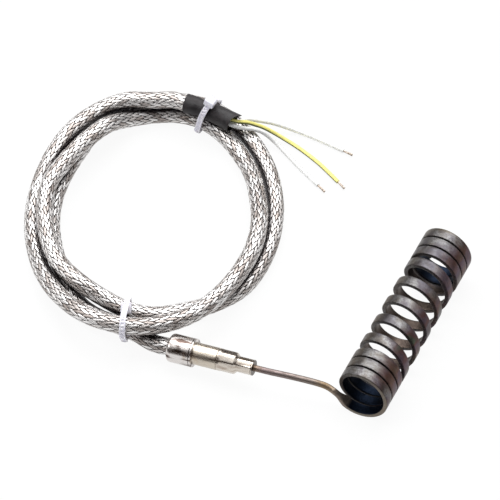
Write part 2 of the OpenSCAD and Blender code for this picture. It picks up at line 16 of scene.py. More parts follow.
import bpy
import numpy as np
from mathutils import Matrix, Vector

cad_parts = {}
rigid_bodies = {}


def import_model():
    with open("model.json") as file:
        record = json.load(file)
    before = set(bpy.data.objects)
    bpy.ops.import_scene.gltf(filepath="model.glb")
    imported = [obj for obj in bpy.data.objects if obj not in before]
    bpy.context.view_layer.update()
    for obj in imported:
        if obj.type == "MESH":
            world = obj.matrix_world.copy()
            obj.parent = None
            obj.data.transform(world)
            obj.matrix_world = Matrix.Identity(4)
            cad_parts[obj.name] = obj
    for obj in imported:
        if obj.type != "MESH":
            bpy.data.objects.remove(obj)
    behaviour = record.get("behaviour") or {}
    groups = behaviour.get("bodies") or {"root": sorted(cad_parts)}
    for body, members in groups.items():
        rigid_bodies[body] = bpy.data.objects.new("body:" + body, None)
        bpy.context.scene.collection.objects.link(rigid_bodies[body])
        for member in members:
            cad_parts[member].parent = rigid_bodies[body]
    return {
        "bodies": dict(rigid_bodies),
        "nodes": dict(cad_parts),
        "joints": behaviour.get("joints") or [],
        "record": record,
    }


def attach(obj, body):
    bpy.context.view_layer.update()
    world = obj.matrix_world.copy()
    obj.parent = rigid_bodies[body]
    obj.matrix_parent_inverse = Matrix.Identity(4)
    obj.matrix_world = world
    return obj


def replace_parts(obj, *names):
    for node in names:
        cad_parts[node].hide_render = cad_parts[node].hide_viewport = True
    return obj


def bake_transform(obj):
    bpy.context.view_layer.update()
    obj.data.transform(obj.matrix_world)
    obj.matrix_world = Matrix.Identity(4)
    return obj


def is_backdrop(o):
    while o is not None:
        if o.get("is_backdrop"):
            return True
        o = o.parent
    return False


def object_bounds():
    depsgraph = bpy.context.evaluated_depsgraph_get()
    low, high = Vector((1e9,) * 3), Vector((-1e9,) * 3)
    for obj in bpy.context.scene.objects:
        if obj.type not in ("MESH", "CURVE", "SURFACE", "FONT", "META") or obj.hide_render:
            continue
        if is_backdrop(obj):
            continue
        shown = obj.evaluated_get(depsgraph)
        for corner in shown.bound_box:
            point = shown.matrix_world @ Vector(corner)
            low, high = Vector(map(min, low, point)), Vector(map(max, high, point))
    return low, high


LOG = logging.getLogger("coil_heater")
MM = 0.001
UP = np.array([0.0, 0.0, 1.0])
BORE_AXIS = np.array([0.0, 1.0, 0.0])

Array = np.ndarray
Colour = tuple[float, float, float, float]
Pairs = tuple[tuple[float, float], ...]
Points = tuple[tuple[float, float, float], ...]
Range = tuple[float, ...]
Stops = tuple[tuple[float, Colour], ...]
Material = bpy.types.Material
Node = bpy.types.Node
Piece = bpy.types.Object
Socket = bpy.types.NodeSocket
Input = Socket | float | tuple | None


class Body(Enum):
    """The two bodies that the stretch joint parts."""

    LEAD_END = "lead_end"
    FAR_END = "far_end"


class Effect(Enum):
    """Node groups that several finishes share."""

    GRAIN = "fine_grain"
    STREAKS = "drawn_streaks"


# Curves and surfaces


def unit(v: Array) -> Array:
    """Vectors scaled to length one along the last axis."""
    return v / np.linalg.norm(v, axis=-1, keepdims=True)


def smooth(x: Array) -> Array:
    """Smoothstep: 0 below 0, 1 above 1 and 3x^2 - 2x^3 between."""
    c = np.clip(x, 0.0, 1.0)
    return c * c * (3.0 - 2.0 * c)


def bump(x: Array, width: float) -> Array:
    """Bell curve exp(-(x / width)^2)."""
    return np.exp(-((np.asarray(x) / width) ** 2))


def shares(count: int) -> Array:
    """Values from 0 to 1 in a count of equal steps."""
    return np.linspace(0.0, 1.0, count + 1)


def heading(angle: Array | float) -> Array:
    """Unit vectors (cos, sin) of angles, along a new last axis."""
    return np.stack([np.cos(angle), np.sin(angle)], axis=-1)


def round_turn(count: int, shift: float = 0.0) -> Array:
    """Angles evenly spaced round one turn, shifted by a share of their spacing."""
    return (np.arange(count) + shift) * 2 * np.pi / count


def facing(azimuth: Array | float, elevation: Array | float) -> Array:
    """Unit vectors at an azimuth, counted from -Y towards +X, and an elevation, both in degrees."""
    a, e = np.radians(azimuth), np.radians(elevation)
    return np.stack(np.broadcast_arrays(np.sin(a) * np.cos(e), -np.cos(a) * np.cos(e), np.sin(e)), axis=-1)


def through(points: Array, steps: int) -> tuple[Array, Array]:
    """Smooth cubic curve through points.

    From b to c, with a before and d after them, the point at u is half of
    2b + u (c - a) + u^2 (2a - 5b + 4c - d) + u^3 (3b - a - 3c + d).

    Args:
        points: The points, in order.
        steps: Steps from each point to the next.

    Returns:
        The curve's points and, for each, its place as a fractional index into points.
    """
    p = np.asarray(points, float)
    i = np.arange(len(p) - 1)
    a, b, c, d = (p[np.clip(i + k, 0, len(p) - 1)][:, None] for k in (-1, 0, 1, 2))
    u = (np.arange(steps) / steps)[None, :, None]
    q = 0.5 * (2 * b + u * (c - a) + u**2 * (2 * a - 5 * b + 4 * c - d) + u**3 * (3 * b - a - 3 * c + d))
    at = (i[:, None] + u[0, :, 0]).ravel()
    return np.concatenate([q.reshape(-1, 3), p[-1:]]), np.append(at, len(p) - 1)


def arc_of(path: Array) -> Array:
    """Length along a path up to each of its points."""
    return np.concatenate([[0.0], np.cumsum(np.linalg.norm(np.diff(path, axis=0), axis=1))])


def spots_along(path: Array, at: Array) -> Array:
    """Points of a path at lengths along it, read on the straight lines between its own points."""
    arc = arc_of(path)
    return np.stack([np.interp(at, arc, axis) for axis in path.T], axis=1)


def evenly(path: Array, step: float) -> Array:
    """The path again, from end to end, with points about step apart."""
    whole = arc_of(path)[-1]
    return spots_along(path, np.linspace(0.0, whole, max(2, round(whole / step) + 1)))


@dataclass(frozen=True)
class Spine:
    """A path with a cross-section frame at each of its points."""

    centre: Array
    along: Array
    side: Array
    up: Array

    @classmethod
    def lying(cls, path: Array) -> Spine:
        """Frames of a path that lies nearly flat: side is along x +Z, and up is side x along.

        Args:
            path: The path's points.

        Returns:
            The spine.
        """
        along = unit(np.gradient(path, axis=0))
        side = unit(np.cross(along, UP))
        return cls(path, along, side, np.cross(side, along))

    def sweep(self, section: Array) -> Array:
        """Rings of a section (n, 2), or of one section for each point (m, n, 2)."""
        s = np.broadcast_to(section, (len(self.centre), *np.shape(section)[-2:]))
        return self.centre[:, None] + s[..., :1] * self.side[:, None] + s[..., 1:] * self.up[:, None]

    def beside(self, x: Array | float, y: Array | float) -> Array:
        """The path moved by x along side and y along up, each one number or one for each point (m, 1)."""
        return self.centre + x * self.side + y * self.up


def circle(radius: float, sides: int) -> Array:
    """Points of a circle, counter-clockwise."""
    return radius * heading(round_turn(sides))


def rounded_rectangle(width: float, height: float, radius: float, arc: int = 5) -> Array:
    """Rectangle with round corners: an arc at each corner and two points on each long side.

    Args:
        width: Length of its long sides.
        height: Length of its short sides.
        radius: Radius of its corners.
        arc: Points on each corner.

    Returns:
        Its points, counter-clockwise.
    """
    quarter = radius * heading(np.linspace(0.0, np.pi / 2, arc))
    turn = np.array([[0.0, -1.0], [1.0, 0.0]])
    corner = np.array([width / 2 - radius, height / 2 - radius])
    inner = np.array([width / 6, height / 2])
    points = []
    for k, (sx, sy) in enumerate(((1, 1), (-1, 1), (-1, -1), (1, -1))):
        points.append(quarter @ np.linalg.matrix_power(turn, k).T + (sx, sy) * corner)
        if sx == sy:
            points.append(np.array([(sx, sy), (-sx, sy)]) * inner)
    return np.concatenate(points)


def rounded_block(half: Array, radius: float, steps: int = 6) -> Array:
    """Box with round edges: p = sign(n) (half - radius) + radius n for unit normals n on a sphere.

    Args:
        half: Half its size along each axis.
        radius: Radius of its edges.
        steps: Steps in a quarter turn.

    Returns:
        Rings of points, from its top to its bottom.
    """
    polar = (np.arange(2 * steps) + 0.5)[:, None] * np.pi / (2 * steps)
    turn = round_turn(4 * steps, 0.5)
    parts = (np.sin(polar) * np.cos(turn), np.sin(polar) * np.sin(turn), np.cos(polar))
    n = np.stack(np.broadcast_arrays(*parts), axis=2)
    return np.sign(n) * (np.asarray(half) - radius) + radius * n


def hull_outline(centres: Array, radii: Array, count: int, fine: int = 2880) -> tuple[Array, Array]:
    """Outline of a strap pulled tight round circles.

    The point with outward normal n is c + r n of the circle with the largest c.n + r.

    Args:
        centres: Circle centres (k, 2).
        radii: Circle radii.
        count: Points on the outline, evenly spaced.
        fine: Normals tried.

    Returns:
        Points and outward normals, each (count, 2).
    """
    n = heading(np.linspace(0.0, 2 * np.pi, fine + 1))
    pick = np.argmax(n @ centres.T + radii, axis=1)
    tight = centres[pick] + radii[pick, None] * n
    points = spots_along(tight, np.arange(count) * arc_of(tight)[-1] / count)
    tangent = np.roll(points, -1, axis=0) - np.roll(points, 1, axis=0)
    return points, unit(np.stack([tangent[:, 1], -tangent[:, 0]], axis=1))


@dataclass
class Surface:
    """Grids of rings gathered into one mesh, with a UV map and point attributes."""

    name: str
    points: list[Array] = field(default_factory=list)
    quads: list[Array] = field(default_factory=list)
    fans: list[Array] = field(default_factory=list)
    quad_uv: list[Array] = field(default_factory=list)
    values: dict[str, list[Array]] = field(default_factory=dict)
    count: int = 0

    def add(self, rings: Array, uv: tuple[Array, Array] | None = None, loop: bool = False,
            **values: Array) -> Surface:
        """Adds a grid of rings (m, n, 3) that closes round each ring.

        Args:
            rings: The rings, in millimetres.
            uv: Coordinates round a ring (n + 1) and along the rings (m, or m + 1 with loop).
            loop: The last ring joins the first. Otherwise each end is closed by a fan.
            **values: Point attributes (m, n).

        Returns:
            This surface.
        """
        m, n, _ = rings.shape
        rows = m if loop else m - 1
        at = np.arange(m * n).reshape(m, n)
        nxt = np.roll(at, -1, axis=1)
        quads = np.stack([at, np.roll(at, -1, axis=0), np.roll(nxt, -1, axis=0), nxt], axis=2)
        quads = quads[:rows].reshape(-1, 4)
        flat = rings.reshape(-1, 3)
        ends, extra = np.empty((0, 3), int), np.empty((0, 3))
        if not loop:
            extra = np.stack([rings[0].mean(axis=0), rings[-1].mean(axis=0)])
            ends = np.concatenate([
                np.stack([np.full(n, m * n), at[0], nxt[0]], axis=1),
                np.stack([np.full(n, m * n + 1), nxt[-1], at[-1]], axis=1)])
        around, length = uv if uv else (shares(n), shares(rows))
        u0, u1 = np.broadcast_to(around[:-1], (rows, n)), np.broadcast_to(around[1:], (rows, n))
        v0, v1 = (np.broadcast_to(length[k:rows + k, None], (rows, n)) for k in (0, 1))
        corner = np.stack([np.stack(q, axis=2) for q in ((u0, v0), (u0, v1), (u1, v1), (u1, v0))], axis=2)
        corner = corner.reshape(-1, 4, 2)
        if self.inside_out(flat, quads):
            quads, ends, corner = quads[:, ::-1], ends[:, ::-1], corner[:, ::-1]
        self.quad_uv.append(corner)
        self.points += [flat, extra]
        self.quads.append(quads + self.count)
        self.fans.append(ends + self.count)
        for key, grid in values.items():
            tips = [] if loop else [grid[0].mean(), grid[-1].mean()]
            self.values.setdefault(key, []).append(np.concatenate([np.ravel(grid), tips]))
        self.count += len(flat) + len(extra)
        return self

    @staticmethod
    def inside_out(points: Array, quads: Array) -> bool:
        """Tests the volume that quads enclose, summed over pyramids from the middle of their points.

        Args:
            points: The points.
            quads: Four indices into points for each quad.

        Returns:
            True where the volume is negative, so that the quads face inwards.
        """
        p = points[quads] - points.mean(axis=0)
        volume = np.einsum("ij,ij->", p[:, 0], np.cross(p[:, 1], p[:, 2]) + np.cross(p[:, 2], p[:, 3]))
        return bool(volume < 0)

    def put(self, material: Material, sharp: float = 40.0) -> Piece:
        """Makes the mesh and its object.

        Args:
            material: What it is made of.
            sharp: Angle in degrees from which an edge is shaded sharp.

        Returns:
            The object.
        """
        points, fans = np.concatenate(self.points) * MM, np.concatenate(self.fans)
        mesh = bpy.data.meshes.new(self.name)
        mesh.from_pydata(points.tolist(), [], np.concatenate(self.quads).tolist() + fans.tolist())
        uv = mesh.uv_layers.new(name="lay")
        corners = np.concatenate([np.concatenate(self.quad_uv).reshape(-1, 2), np.zeros((fans.size, 2))])
        uv.data.foreach_set("uv", corners.astype(np.float32).ravel())
        for key, parts in self.values.items():
            layer = mesh.attributes.new(key, "FLOAT", "POINT")
            layer.data.foreach_set("value", np.concatenate(parts).astype(np.float32))
        mesh.polygons.foreach_set("use_smooth", np.ones(len(mesh.polygons), bool))
        mesh.set_sharp_from_angle(angle=math.radians(sharp))
        mesh.materials.append(material)
        piece = bpy.data.objects.new(self.name, mesh)
        bpy.context.scene.collection.objects.link(piece)
        LOG.info("%s: %d points", self.name, len(points))
        return piece


def on_lead_end(piece: Piece, slot: str, node: str) -> Piece:
    """Puts a piece in place of a part, on the lead end's body."""
    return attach(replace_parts(piece, node), Body.LEAD_END.value)


# Finishes


def srgb(red: float, green: float, blue: float) -> Colour:
    """A colour written as 0 to 255, as the shader wants it.

    Args:
        red: Its red.
        green: Its green.
        blue: Its blue.

    Returns:
        The linear colour, with an alpha of 1.
    """
    c = np.array((red, green, blue)) / 255.0
    linear = np.where(c <= 0.04045, c / 12.92, ((c + 0.055) / 1.055) ** 2.4)
    return (*linear.tolist(), 1.0)


class Nodes:
    """A node tree with short calls for the nodes that these finishes use."""

    NOISE_ROUGHNESS = 0.55
    NOISE_SPAN = (0.3, 0.7)

    def __init__(self, tree: bpy.types.NodeTree) -> None:
        """Works on the tree given."""
        self.tree = tree

    def feed(self, node: Node, inputs: dict[str | int, Input]) -> Node:
        """Links or sets a node's inputs.

        Args:
            node: The node.
            inputs: A socket to link, a value to set or None to leave, by name or number of the input.

        Returns:
            The node.
        """
        for key, value in inputs.items():
            if isinstance(value, Socket):
                self.tree.links.new(value, node.inputs[key])
            elif value is not None:
                node.inputs[key].default_value = value
        return node

    def add(self, kind: str, inputs: dict[str | int, Input] | None = None, **settings: object) -> Node:
        """Adds a node.

        Args:
            kind: Its type.
            inputs: What feeds its inputs.
            **settings: Its properties.

        Returns:
            The node.
        """
        node = self.tree.nodes.new(kind)
        for key, value in settings.items():
            setattr(node, key, value)
        return self.feed(node, inputs or {})

    def math(self, operation: str, a: Input, b: Input = None, c: Input = None) -> Socket:
        """A Math node's value."""
        return self.add("ShaderNodeMath", {0: a, 1: b, 2: c}, operation=operation).outputs[0]

    def times(self, a: Input, b: Input) -> Socket:
        """The product of two values."""
        return self.math("MULTIPLY", a, b)

    def split(self, vector: Input) -> tuple[Socket, Socket]:
        """A vector's first two parts."""
        parts = self.add("ShaderNodeSeparateXYZ", {0: vector}).outputs
        return parts[0], parts[1]

    def fit(self, value: Input, low: float, high: float, to_low: float = 0.0,
            to_high: float = 1.0) -> Socket:
        """A value carried from one range to another by the smooth step, and held at its ends.

        Args:
            value: The value.
            low: Where the range starts. It may be above high.
            high: Where the range ends.
            to_low: What low becomes.
            to_high: What high becomes.

        Returns:
            The new value.
        """
        ends = {"From Min": low, "From Max": high, "To Min": to_low, "To Max": to_high}
        node = self.add("ShaderNodeMapRange", {"Value": value, **ends}, interpolation_type="SMOOTHSTEP")
        return node.outputs[0]

    def spread(self, noise: Input, low: float, high: float) -> Socket:
        """Noise carried to values from low to high."""
        return self.fit(noise, *self.NOISE_SPAN, low, high)

    def mix(self, factor: Input, a: Input, b: Input) -> Socket:
        """Two colours mixed by a factor."""
        return self.add("ShaderNodeMix", {0: factor, 6: a, 7: b}, data_type="RGBA").outputs[2]

    def ramp(self, value: Input, stops: Stops) -> Socket:
        """A colour read from a row of stops.

        Args:
            value: Place on the row, 0 to 1.
            stops: Places and colours, in order.

        Returns:
            The colour, straight between stops.
        """
        node = self.add("ShaderNodeValToRGB", {"Fac": value})
        row = node.color_ramp.elements
        while len(row) < len(stops):
            row.new(0.5)
        for element, (place, colour) in zip(row, stops):
            element.position, element.color = place, colour
        return node.outputs["Color"]

    def noise(self, vector: Input, scale: Input, detail: float) -> Socket:
        """Fractal noise, 0 to 1."""
        inputs = {"Vector": vector, "Scale": scale, "Detail": detail, "Roughness": self.NOISE_ROUGHNESS}
        return self.add("ShaderNodeTexNoise", inputs).outputs["Fac"]

    def attribute(self, name: str) -> Socket:
        """A point attribute's value."""
        return self.add("ShaderNodeAttribute", attribute_name=name).outputs["Fac"]

    def group(self, effect: Effect, **inputs: Input) -> Node:
        """A shared effect, with this material's own values."""
        named = {key.title(): value for key, value in inputs.items()}
        return self.add("ShaderNodeGroup", named, node_tree=bpy.data.node_groups[effect.value])


@dataclass(frozen=True)
class SharedEffects:
    """Builds the node groups that several finishes share."""

    fine: float = 9.0
    thin: float = 5.0
    grain_detail: float = 3.0
    streak_detail: float = 2.0

    @staticmethod
    def new(effect: Effect, values: tuple[str, ...], outputs: tuple[str, str]) -> tuple[Nodes, Node, Node]:
        """An empty group with named sockets.

        Args:
            effect: Which group.
            values: Names of its value inputs, beside the vector.
            outputs: Names of its value outputs.

        Returns:
            Its nodes, its input node and its output node.
        """
        tree = bpy.data.node_groups.new(effect.value, "ShaderNodeTree")
        tree.interface.new_socket("Vector", in_out="INPUT", socket_type="NodeSocketVector")
        for names, way in ((values, "INPUT"), (outputs, "OUTPUT")):
            for name in names:
                tree.interface.new_socket(name, in_out=way, socket_type="NodeSocketFloat")
        nodes = Nodes(tree)
        return nodes, nodes.add("NodeGroupInput"), nodes.add("NodeGroupOutput")

    def build(self) -> None:
        """Makes both groups."""
        self.grain()
        self.streaks()

    def grain(self) -> None:
        """Soft grain in two sizes."""
        n, enter, leave = self.new(Effect.GRAIN, ("Scale",), ("Coarse", "Fine"))
        for key, size in (("Coarse", 1.0), ("Fine", self.fine)):
            scale = n.times(enter.outputs["Scale"], size)
            n.feed(leave, {key: n.noise(enter.outputs["Vector"], scale, self.grain_detail)})

    def streaks(self) -> None:
        """Streaks drawn along the vector's second part, in two widths."""
        n, enter, leave = self.new(Effect.STREAKS, ("Across", "Along"), ("Broad", "Thin"))
        round_it, along_it = n.split(enter.outputs["Vector"])
        for key, size in (("Broad", 1.0), ("Thin", self.thin)):
            across = n.times(n.times(round_it, enter.outputs["Across"]), size)
            along = n.times(along_it, enter.outputs["Along"])
            spot = n.add("ShaderNodeCombineXYZ", {0: across, 1: along, 2: size}).outputs[0]
            n.feed(leave, {key: n.noise(spot, 1.0, self.streak_detail)})


@dataclass(frozen=True)
class Tint:
    """A colour laid on by up to an amount as some value goes from low to high."""

    colour: Colour
    low: float
    high: float
    amount: float = 1.0

    def over(self, n: Nodes, base: Input, value: Input) -> Socket:
        """The base colour with this one laid on it."""
        return n.mix(n.fit(value, self.low, self.high, 0.0, self.amount), base, self.colour)


@dataclass(frozen=True)
class Finish:
    """A finish: its name, how metallic it is, and what a subclass does to the shader."""

    name: str
    metallic: float

    def material(self) -> Material:
        """Makes the material and has the subclass dress its shader.

        Returns:
            The material.
        """
        made = bpy.data.materials.new(self.name)
        made.use_nodes = True
        shader = made.node_tree.nodes["Principled BSDF"]
        shader.inputs["Metallic"].default_value = self.metallic
        self.dress(Nodes(made.node_tree), shader)
        return made

    def dress(self, n: Nodes, shader: Node) -> None:
        """Links the finish's own nodes to the shader.

        Args:
            n: The material's nodes.
            shader: Its shader.
        """
        raise NotImplementedError

    @staticmethod
    def wire(n: Nodes, shader: Node, colour: Input, rough: Input, height: Input, depth: float) -> None:
        """Feeds the shader.

        Args:
            n: The material's nodes.
            shader: Its shader.
            colour: Base colour.
            rough: Roughness.
            height: Height of the bump, 0 to 1.
            depth: Depth of the bump in millimetres.
        """
        relief = n.add("ShaderNodeBump", {"Height": height, "Distance": depth * MM}).outputs[0]
        n.feed(shader, {"Base Color": colour, "Roughness": rough, "Normal": relief})

    @staticmethod
    def place(n: Nodes) -> Socket:
        """Object coordinates, in metres."""
        return n.add("ShaderNodeTexCoord").outputs["Object"]

    @staticmethod
    def lay(n: Nodes) -> Socket:
        """The piece's own UV map, named lay."""
        return n.add("ShaderNodeUVMap", uv_map="lay").outputs[0]

    @classmethod
    def grain(cls, n: Nodes, scale: float) -> tuple[Socket, Socket]:
        """Coarse and fine grain."""
        made = n.group(Effect.GRAIN, vector=cls.place(n), scale=scale)
        return made.outputs["Coarse"], made.outputs["Fine"]

    @classmethod
    def streaks(cls, n: Nodes, across: float, along: float) -> tuple[Socket, Socket]:
        """Broad and thin streaks along the piece."""
        made = n.group(Effect.STREAKS, vector=cls.lay(n), across=across, along=along)
        return made.outputs["Broad"], made.outputs["Thin"]


@dataclass(frozen=True)
class Plain(Finish):
    """One colour with soft mottling and a fine grain."""

    colour: Colour
    shade: Colour
    rough: float
    scale: float
    depth: float = 0.03
    uneven: float = 0.08
    mottle: Range = (0.35, 0.7)

    def dress(self, n: Nodes, shader: Node) -> None:
        """Mixes colour and shade by coarse grain.

        Args:
            n: The material's nodes.
            shader: Its shader.
        """
        coarse, fine = self.grain(n, self.scale)
        colour = Tint(self.shade, *self.mottle).over(n, self.colour, coarse)
        rough = n.spread(fine, self.rough - self.uneven, self.rough + self.uneven)
        self.wire(n, shader, colour, rough, fine, self.depth)


@dataclass(frozen=True)
class Nylon(Plain):
    """Natural nylon: white, slightly cool, soft gloss, light passing a little way in."""

    colour: Colour = srgb(238, 236, 243)
    shade: Colour = srgb(222, 219, 231)
    rough: float = 0.41
    scale: float = 350.0
    depth: float = 0.015
    uneven: float = 0.07
    scatter: float = 0.25
    scatter_reach: tuple[float, float, float] = (0.0012, 0.0011, 0.001)

    def dress(self, n: Nodes, shader: Node) -> None:
        """Soft mottling, with scattering set on the shader itself."""
        n.feed(shader, {"Subsurface Weight": self.scatter, "Subsurface Radius": self.scatter_reach})
        super().dress(n, shader)


@dataclass(frozen=True)
class HeatedStrip(Finish):
    """Heat-tinted strip: brushed grey faces, tints on both sides, painted shade on the rims and at the
    bore's closed ends, a painted highlight on the bevel by the lead end, and a tempered tail.

    A range is a low and a high value, and where needed what they become. The sides are places across the
    bore, and far_end, bevel_end, bore_from and bore_to have places along it, all in metres. The other ranges
    are of noise, or of face, edge and tail.
    """

    greys: Stops = (
        (0.30, srgb(74, 70, 67)), (0.43, srgb(101, 98, 95)), (0.52, srgb(119, 119, 119)),
        (0.60, srgb(94, 91, 94)), (0.70, srgb(70, 68, 70)))
    speckle: Tint = Tint(srgb(56, 52, 53), 0.5, 0.62, 0.45)
    slate: Tint = Tint(srgb(68, 66, 76), 0.50, 0.66, 0.65)
    straw: Colour = srgb(98, 82, 58)
    straw_side: Range = (-0.0035, -0.0085)
    straw_patch: Range = (0.38, 0.58, 0.1, 0.6)
    heat: Stops = (
        (0.34, srgb(96, 74, 52)), (0.44, srgb(100, 62, 52)), (0.52, srgb(86, 66, 84)),
        (0.60, srgb(96, 52, 46)), (0.68, srgb(78, 88, 66)))
    heat_side: Range = (0.001, 0.0075)
    heat_patch: Range = (0.34, 0.52, 0.15, 0.75)
    far_end: Tint = Tint(srgb(128, 114, 76), 0.0765, 0.0795, 0.5)
    brushed: Tint = Tint(srgb(70, 64, 62), 0.35, 0.65, 0.4)
    # Painted shade: dark along the rims next to the gaps between turns, broken up by fine grain.
    rim: Colour = srgb(40, 35, 34)
    rim_shade_grain: Range = (0.3, 0.6, 0.3, 0.8)
    # Painted highlight: a light band on the rounded edges at the lead end, standing in for the light they
    # catch.
    bevel_highlight: Colour = srgb(152, 142, 126)
    bevel_edge: Range = (0.85, 1.0)
    bevel_end: Range = (0.004, 0.0015, 0.0, 0.45)
    # Painted shade: blue-black inside the bore where the turns are closed and little light gets in.
    bore_end_shade: Colour = srgb(12, 22, 37)
    bore_brown: Colour = srgb(104, 92, 84)
    bore_shade: Colour = srgb(72, 62, 58)
    bore_from: Range = (0.0125, 0.0165)
    bore_to: Range = (0.068, 0.064)
    bore_face: Range = (-0.75, -0.95)
    temper: Stops = (
        (0.0, srgb(138, 127, 118)), (0.12, srgb(142, 130, 119)), (0.24, srgb(148, 127, 101)),
        (0.34, srgb(138, 127, 120)), (0.60, srgb(134, 122, 119)), (0.76, srgb(132, 117, 116)),
        (0.86, srgb(146, 126, 106)), (0.91, srgb(184, 156, 88)), (0.95, srgb(166, 166, 92)),
        (0.98, srgb(188, 158, 98)), (1.0, srgb(168, 158, 146)))
    tail_streak: Tint = Tint(srgb(84, 74, 66), 0.4, 0.7, 0.35)
    tail_from: Range = (-0.045, 0.0)
    gloss: Range = (0.36, 0.5)
    tail_dull: Range = (-0.05, 0.05, 0.0, 0.1)
    grain_scale: float = 190.0
    patch_scale: float = 75.0
    drift_scale: float = 95.0
    drift_stretch: tuple[float, float, float] = (1.0, 0.6, 1.4)
    noise_detail: float = 2.0
    lines: Range = (9.0, 0.35)
    depth: float = 0.02

    def dress(self, n: Nodes, shader: Node) -> None:
        """Reads face (-1 bore side to 1 outer side), edge (1 at a rim) and tail (0 coil to 1 nose).

        Args:
            n: The material's nodes.
            shader: Its shader.
        """
        face, edge, tail = (n.attribute(name) for name in ("face", "edge", "tail"))
        broad, thin = self.streaks(n, *self.lines)
        coil = n.mix(n.fit(face, *self.bore_face), self.outside(n, edge, thin), self.bore(n, broad))
        temper = self.tail_streak.over(n, n.ramp(tail, self.temper), broad)
        colour = n.mix(n.fit(tail, *self.tail_from), coil, temper)
        rough = n.math("ADD", n.spread(broad, *self.gloss), n.fit(tail, *self.tail_dull))
        self.wire(n, shader, colour, rough, thin, self.depth)

    def outside(self, n: Nodes, edge: Socket, thin: Socket) -> Socket:
        """Colour of the outer faces and the rims: painted shade on the rims, a painted highlight on the
        bevel.

        Args:
            n: The material's nodes.
            edge: 1 at a rim.
            thin: Brushed streaks.

        Returns:
            The colour.
        """
        spot = self.place(n)
        across, along = n.split(spot)
        coarse, fine = self.grain(n, self.grain_scale)
        patch = n.noise(spot, self.patch_scale, self.noise_detail)
        drawn_out = n.add("ShaderNodeMapping", {"Vector": spot, "Scale": self.drift_stretch}).outputs[0]
        drift = n.noise(drawn_out, self.drift_scale, self.noise_detail)
        tints = self.speckle.over(n, n.ramp(coarse, self.greys), fine)
        tints = self.slate.over(n, tints, drift)
        left = n.times(n.fit(across, *self.straw_side), n.fit(patch, *self.straw_patch))
        tints = n.mix(left, tints, self.straw)
        right = n.times(n.fit(across, *self.heat_side), n.fit(patch, *self.heat_patch))
        tints = n.mix(right, tints, n.ramp(drift, self.heat))
        tints = self.brushed.over(n, self.far_end.over(n, tints, along), thin)
        # Painted shade along the rims.
        tints = n.mix(n.times(edge, n.fit(fine, *self.rim_shade_grain)), tints, self.rim)
        # Painted highlight on the rounded edges by the lead end.
        bevel_highlight = n.times(n.fit(edge, *self.bevel_edge), n.fit(along, *self.bevel_end))
        return n.mix(bevel_highlight, tints, self.bevel_highlight)

    def bore(self, n: Nodes, broad: Socket) -> Socket:
        """Colour of the bore: painted shade, blue-black, at its closed ends, and streaky brown between.

        Args:
            n: The material's nodes.
            broad: Broad streaks.

        Returns:
            The colour.
        """
        _, along = n.split(self.place(n))
        # 1 in the open turns, where light reaches the bore; the closed ends get the painted shade.
        middle = n.times(n.fit(along, *self.bore_from), n.fit(along, *self.bore_to))
        return n.mix(middle, self.bore_end_shade, n.mix(broad, self.bore_brown, self.bore_shade))


@dataclass(frozen=True)
class BrightMetal(Finish):
    """Plated metal drawn lengthwise, with a warm stain. UV: turn round the axis, millimetres along it."""

    colour: Colour
    stain: Colour
    amount: float
    rough: float
    across: float
    # Spans along the axis painted dark as shade: grooves, a joint and a mouth.
    dark: Pairs = ()
    along: float = 0.12
    streak: Range = (0.48, 0.72)
    warm: Colour = srgb(176, 150, 112)
    warm_grain: Range = (0.55, 0.75)
    warm_most: float = 0.5
    warm_scale: float = 260.0
    # Painted shade laid on the dark spans.
    span_shade: Colour = srgb(58, 46, 40)
    span_shade_amount: float = 0.9
    span_shade_fade: float = 0.08
    uneven: Range = (-0.06, 0.1)
    depth: float = 0.012

    def dress(self, n: Nodes, shader: Node) -> None:
        """Streaks along the axis darken and roughen the metal, grain stains it, and spans of it are painted
        dark as shade in grooves, at a joint and at a mouth.

        Args:
            n: The material's nodes.
            shader: Its shader.
        """
        broad, thin = self.streaks(n, self.across, self.along)
        coarse, _ = self.grain(n, self.warm_scale)
        colour = Tint(self.stain, *self.streak, self.amount).over(n, self.colour, broad)
        colour = Tint(self.warm, *self.warm_grain, min(self.amount, self.warm_most)).over(n, colour, coarse)
        _, place = n.split(self.lay(n))
        # Painted shade along each dark span.
        for start, stop in self.dark:
            entry = n.fit(place, start, start + self.span_shade_fade)
            leave = n.fit(place, stop, stop - self.span_shade_fade, 0.0, self.span_shade_amount)
            colour = n.mix(n.times(entry, leave), colour, self.span_shade)
        rough = n.spread(thin, *(self.rough + more for more in self.uneven))
        self.wire(n, shader, colour, rough, thin, self.depth)


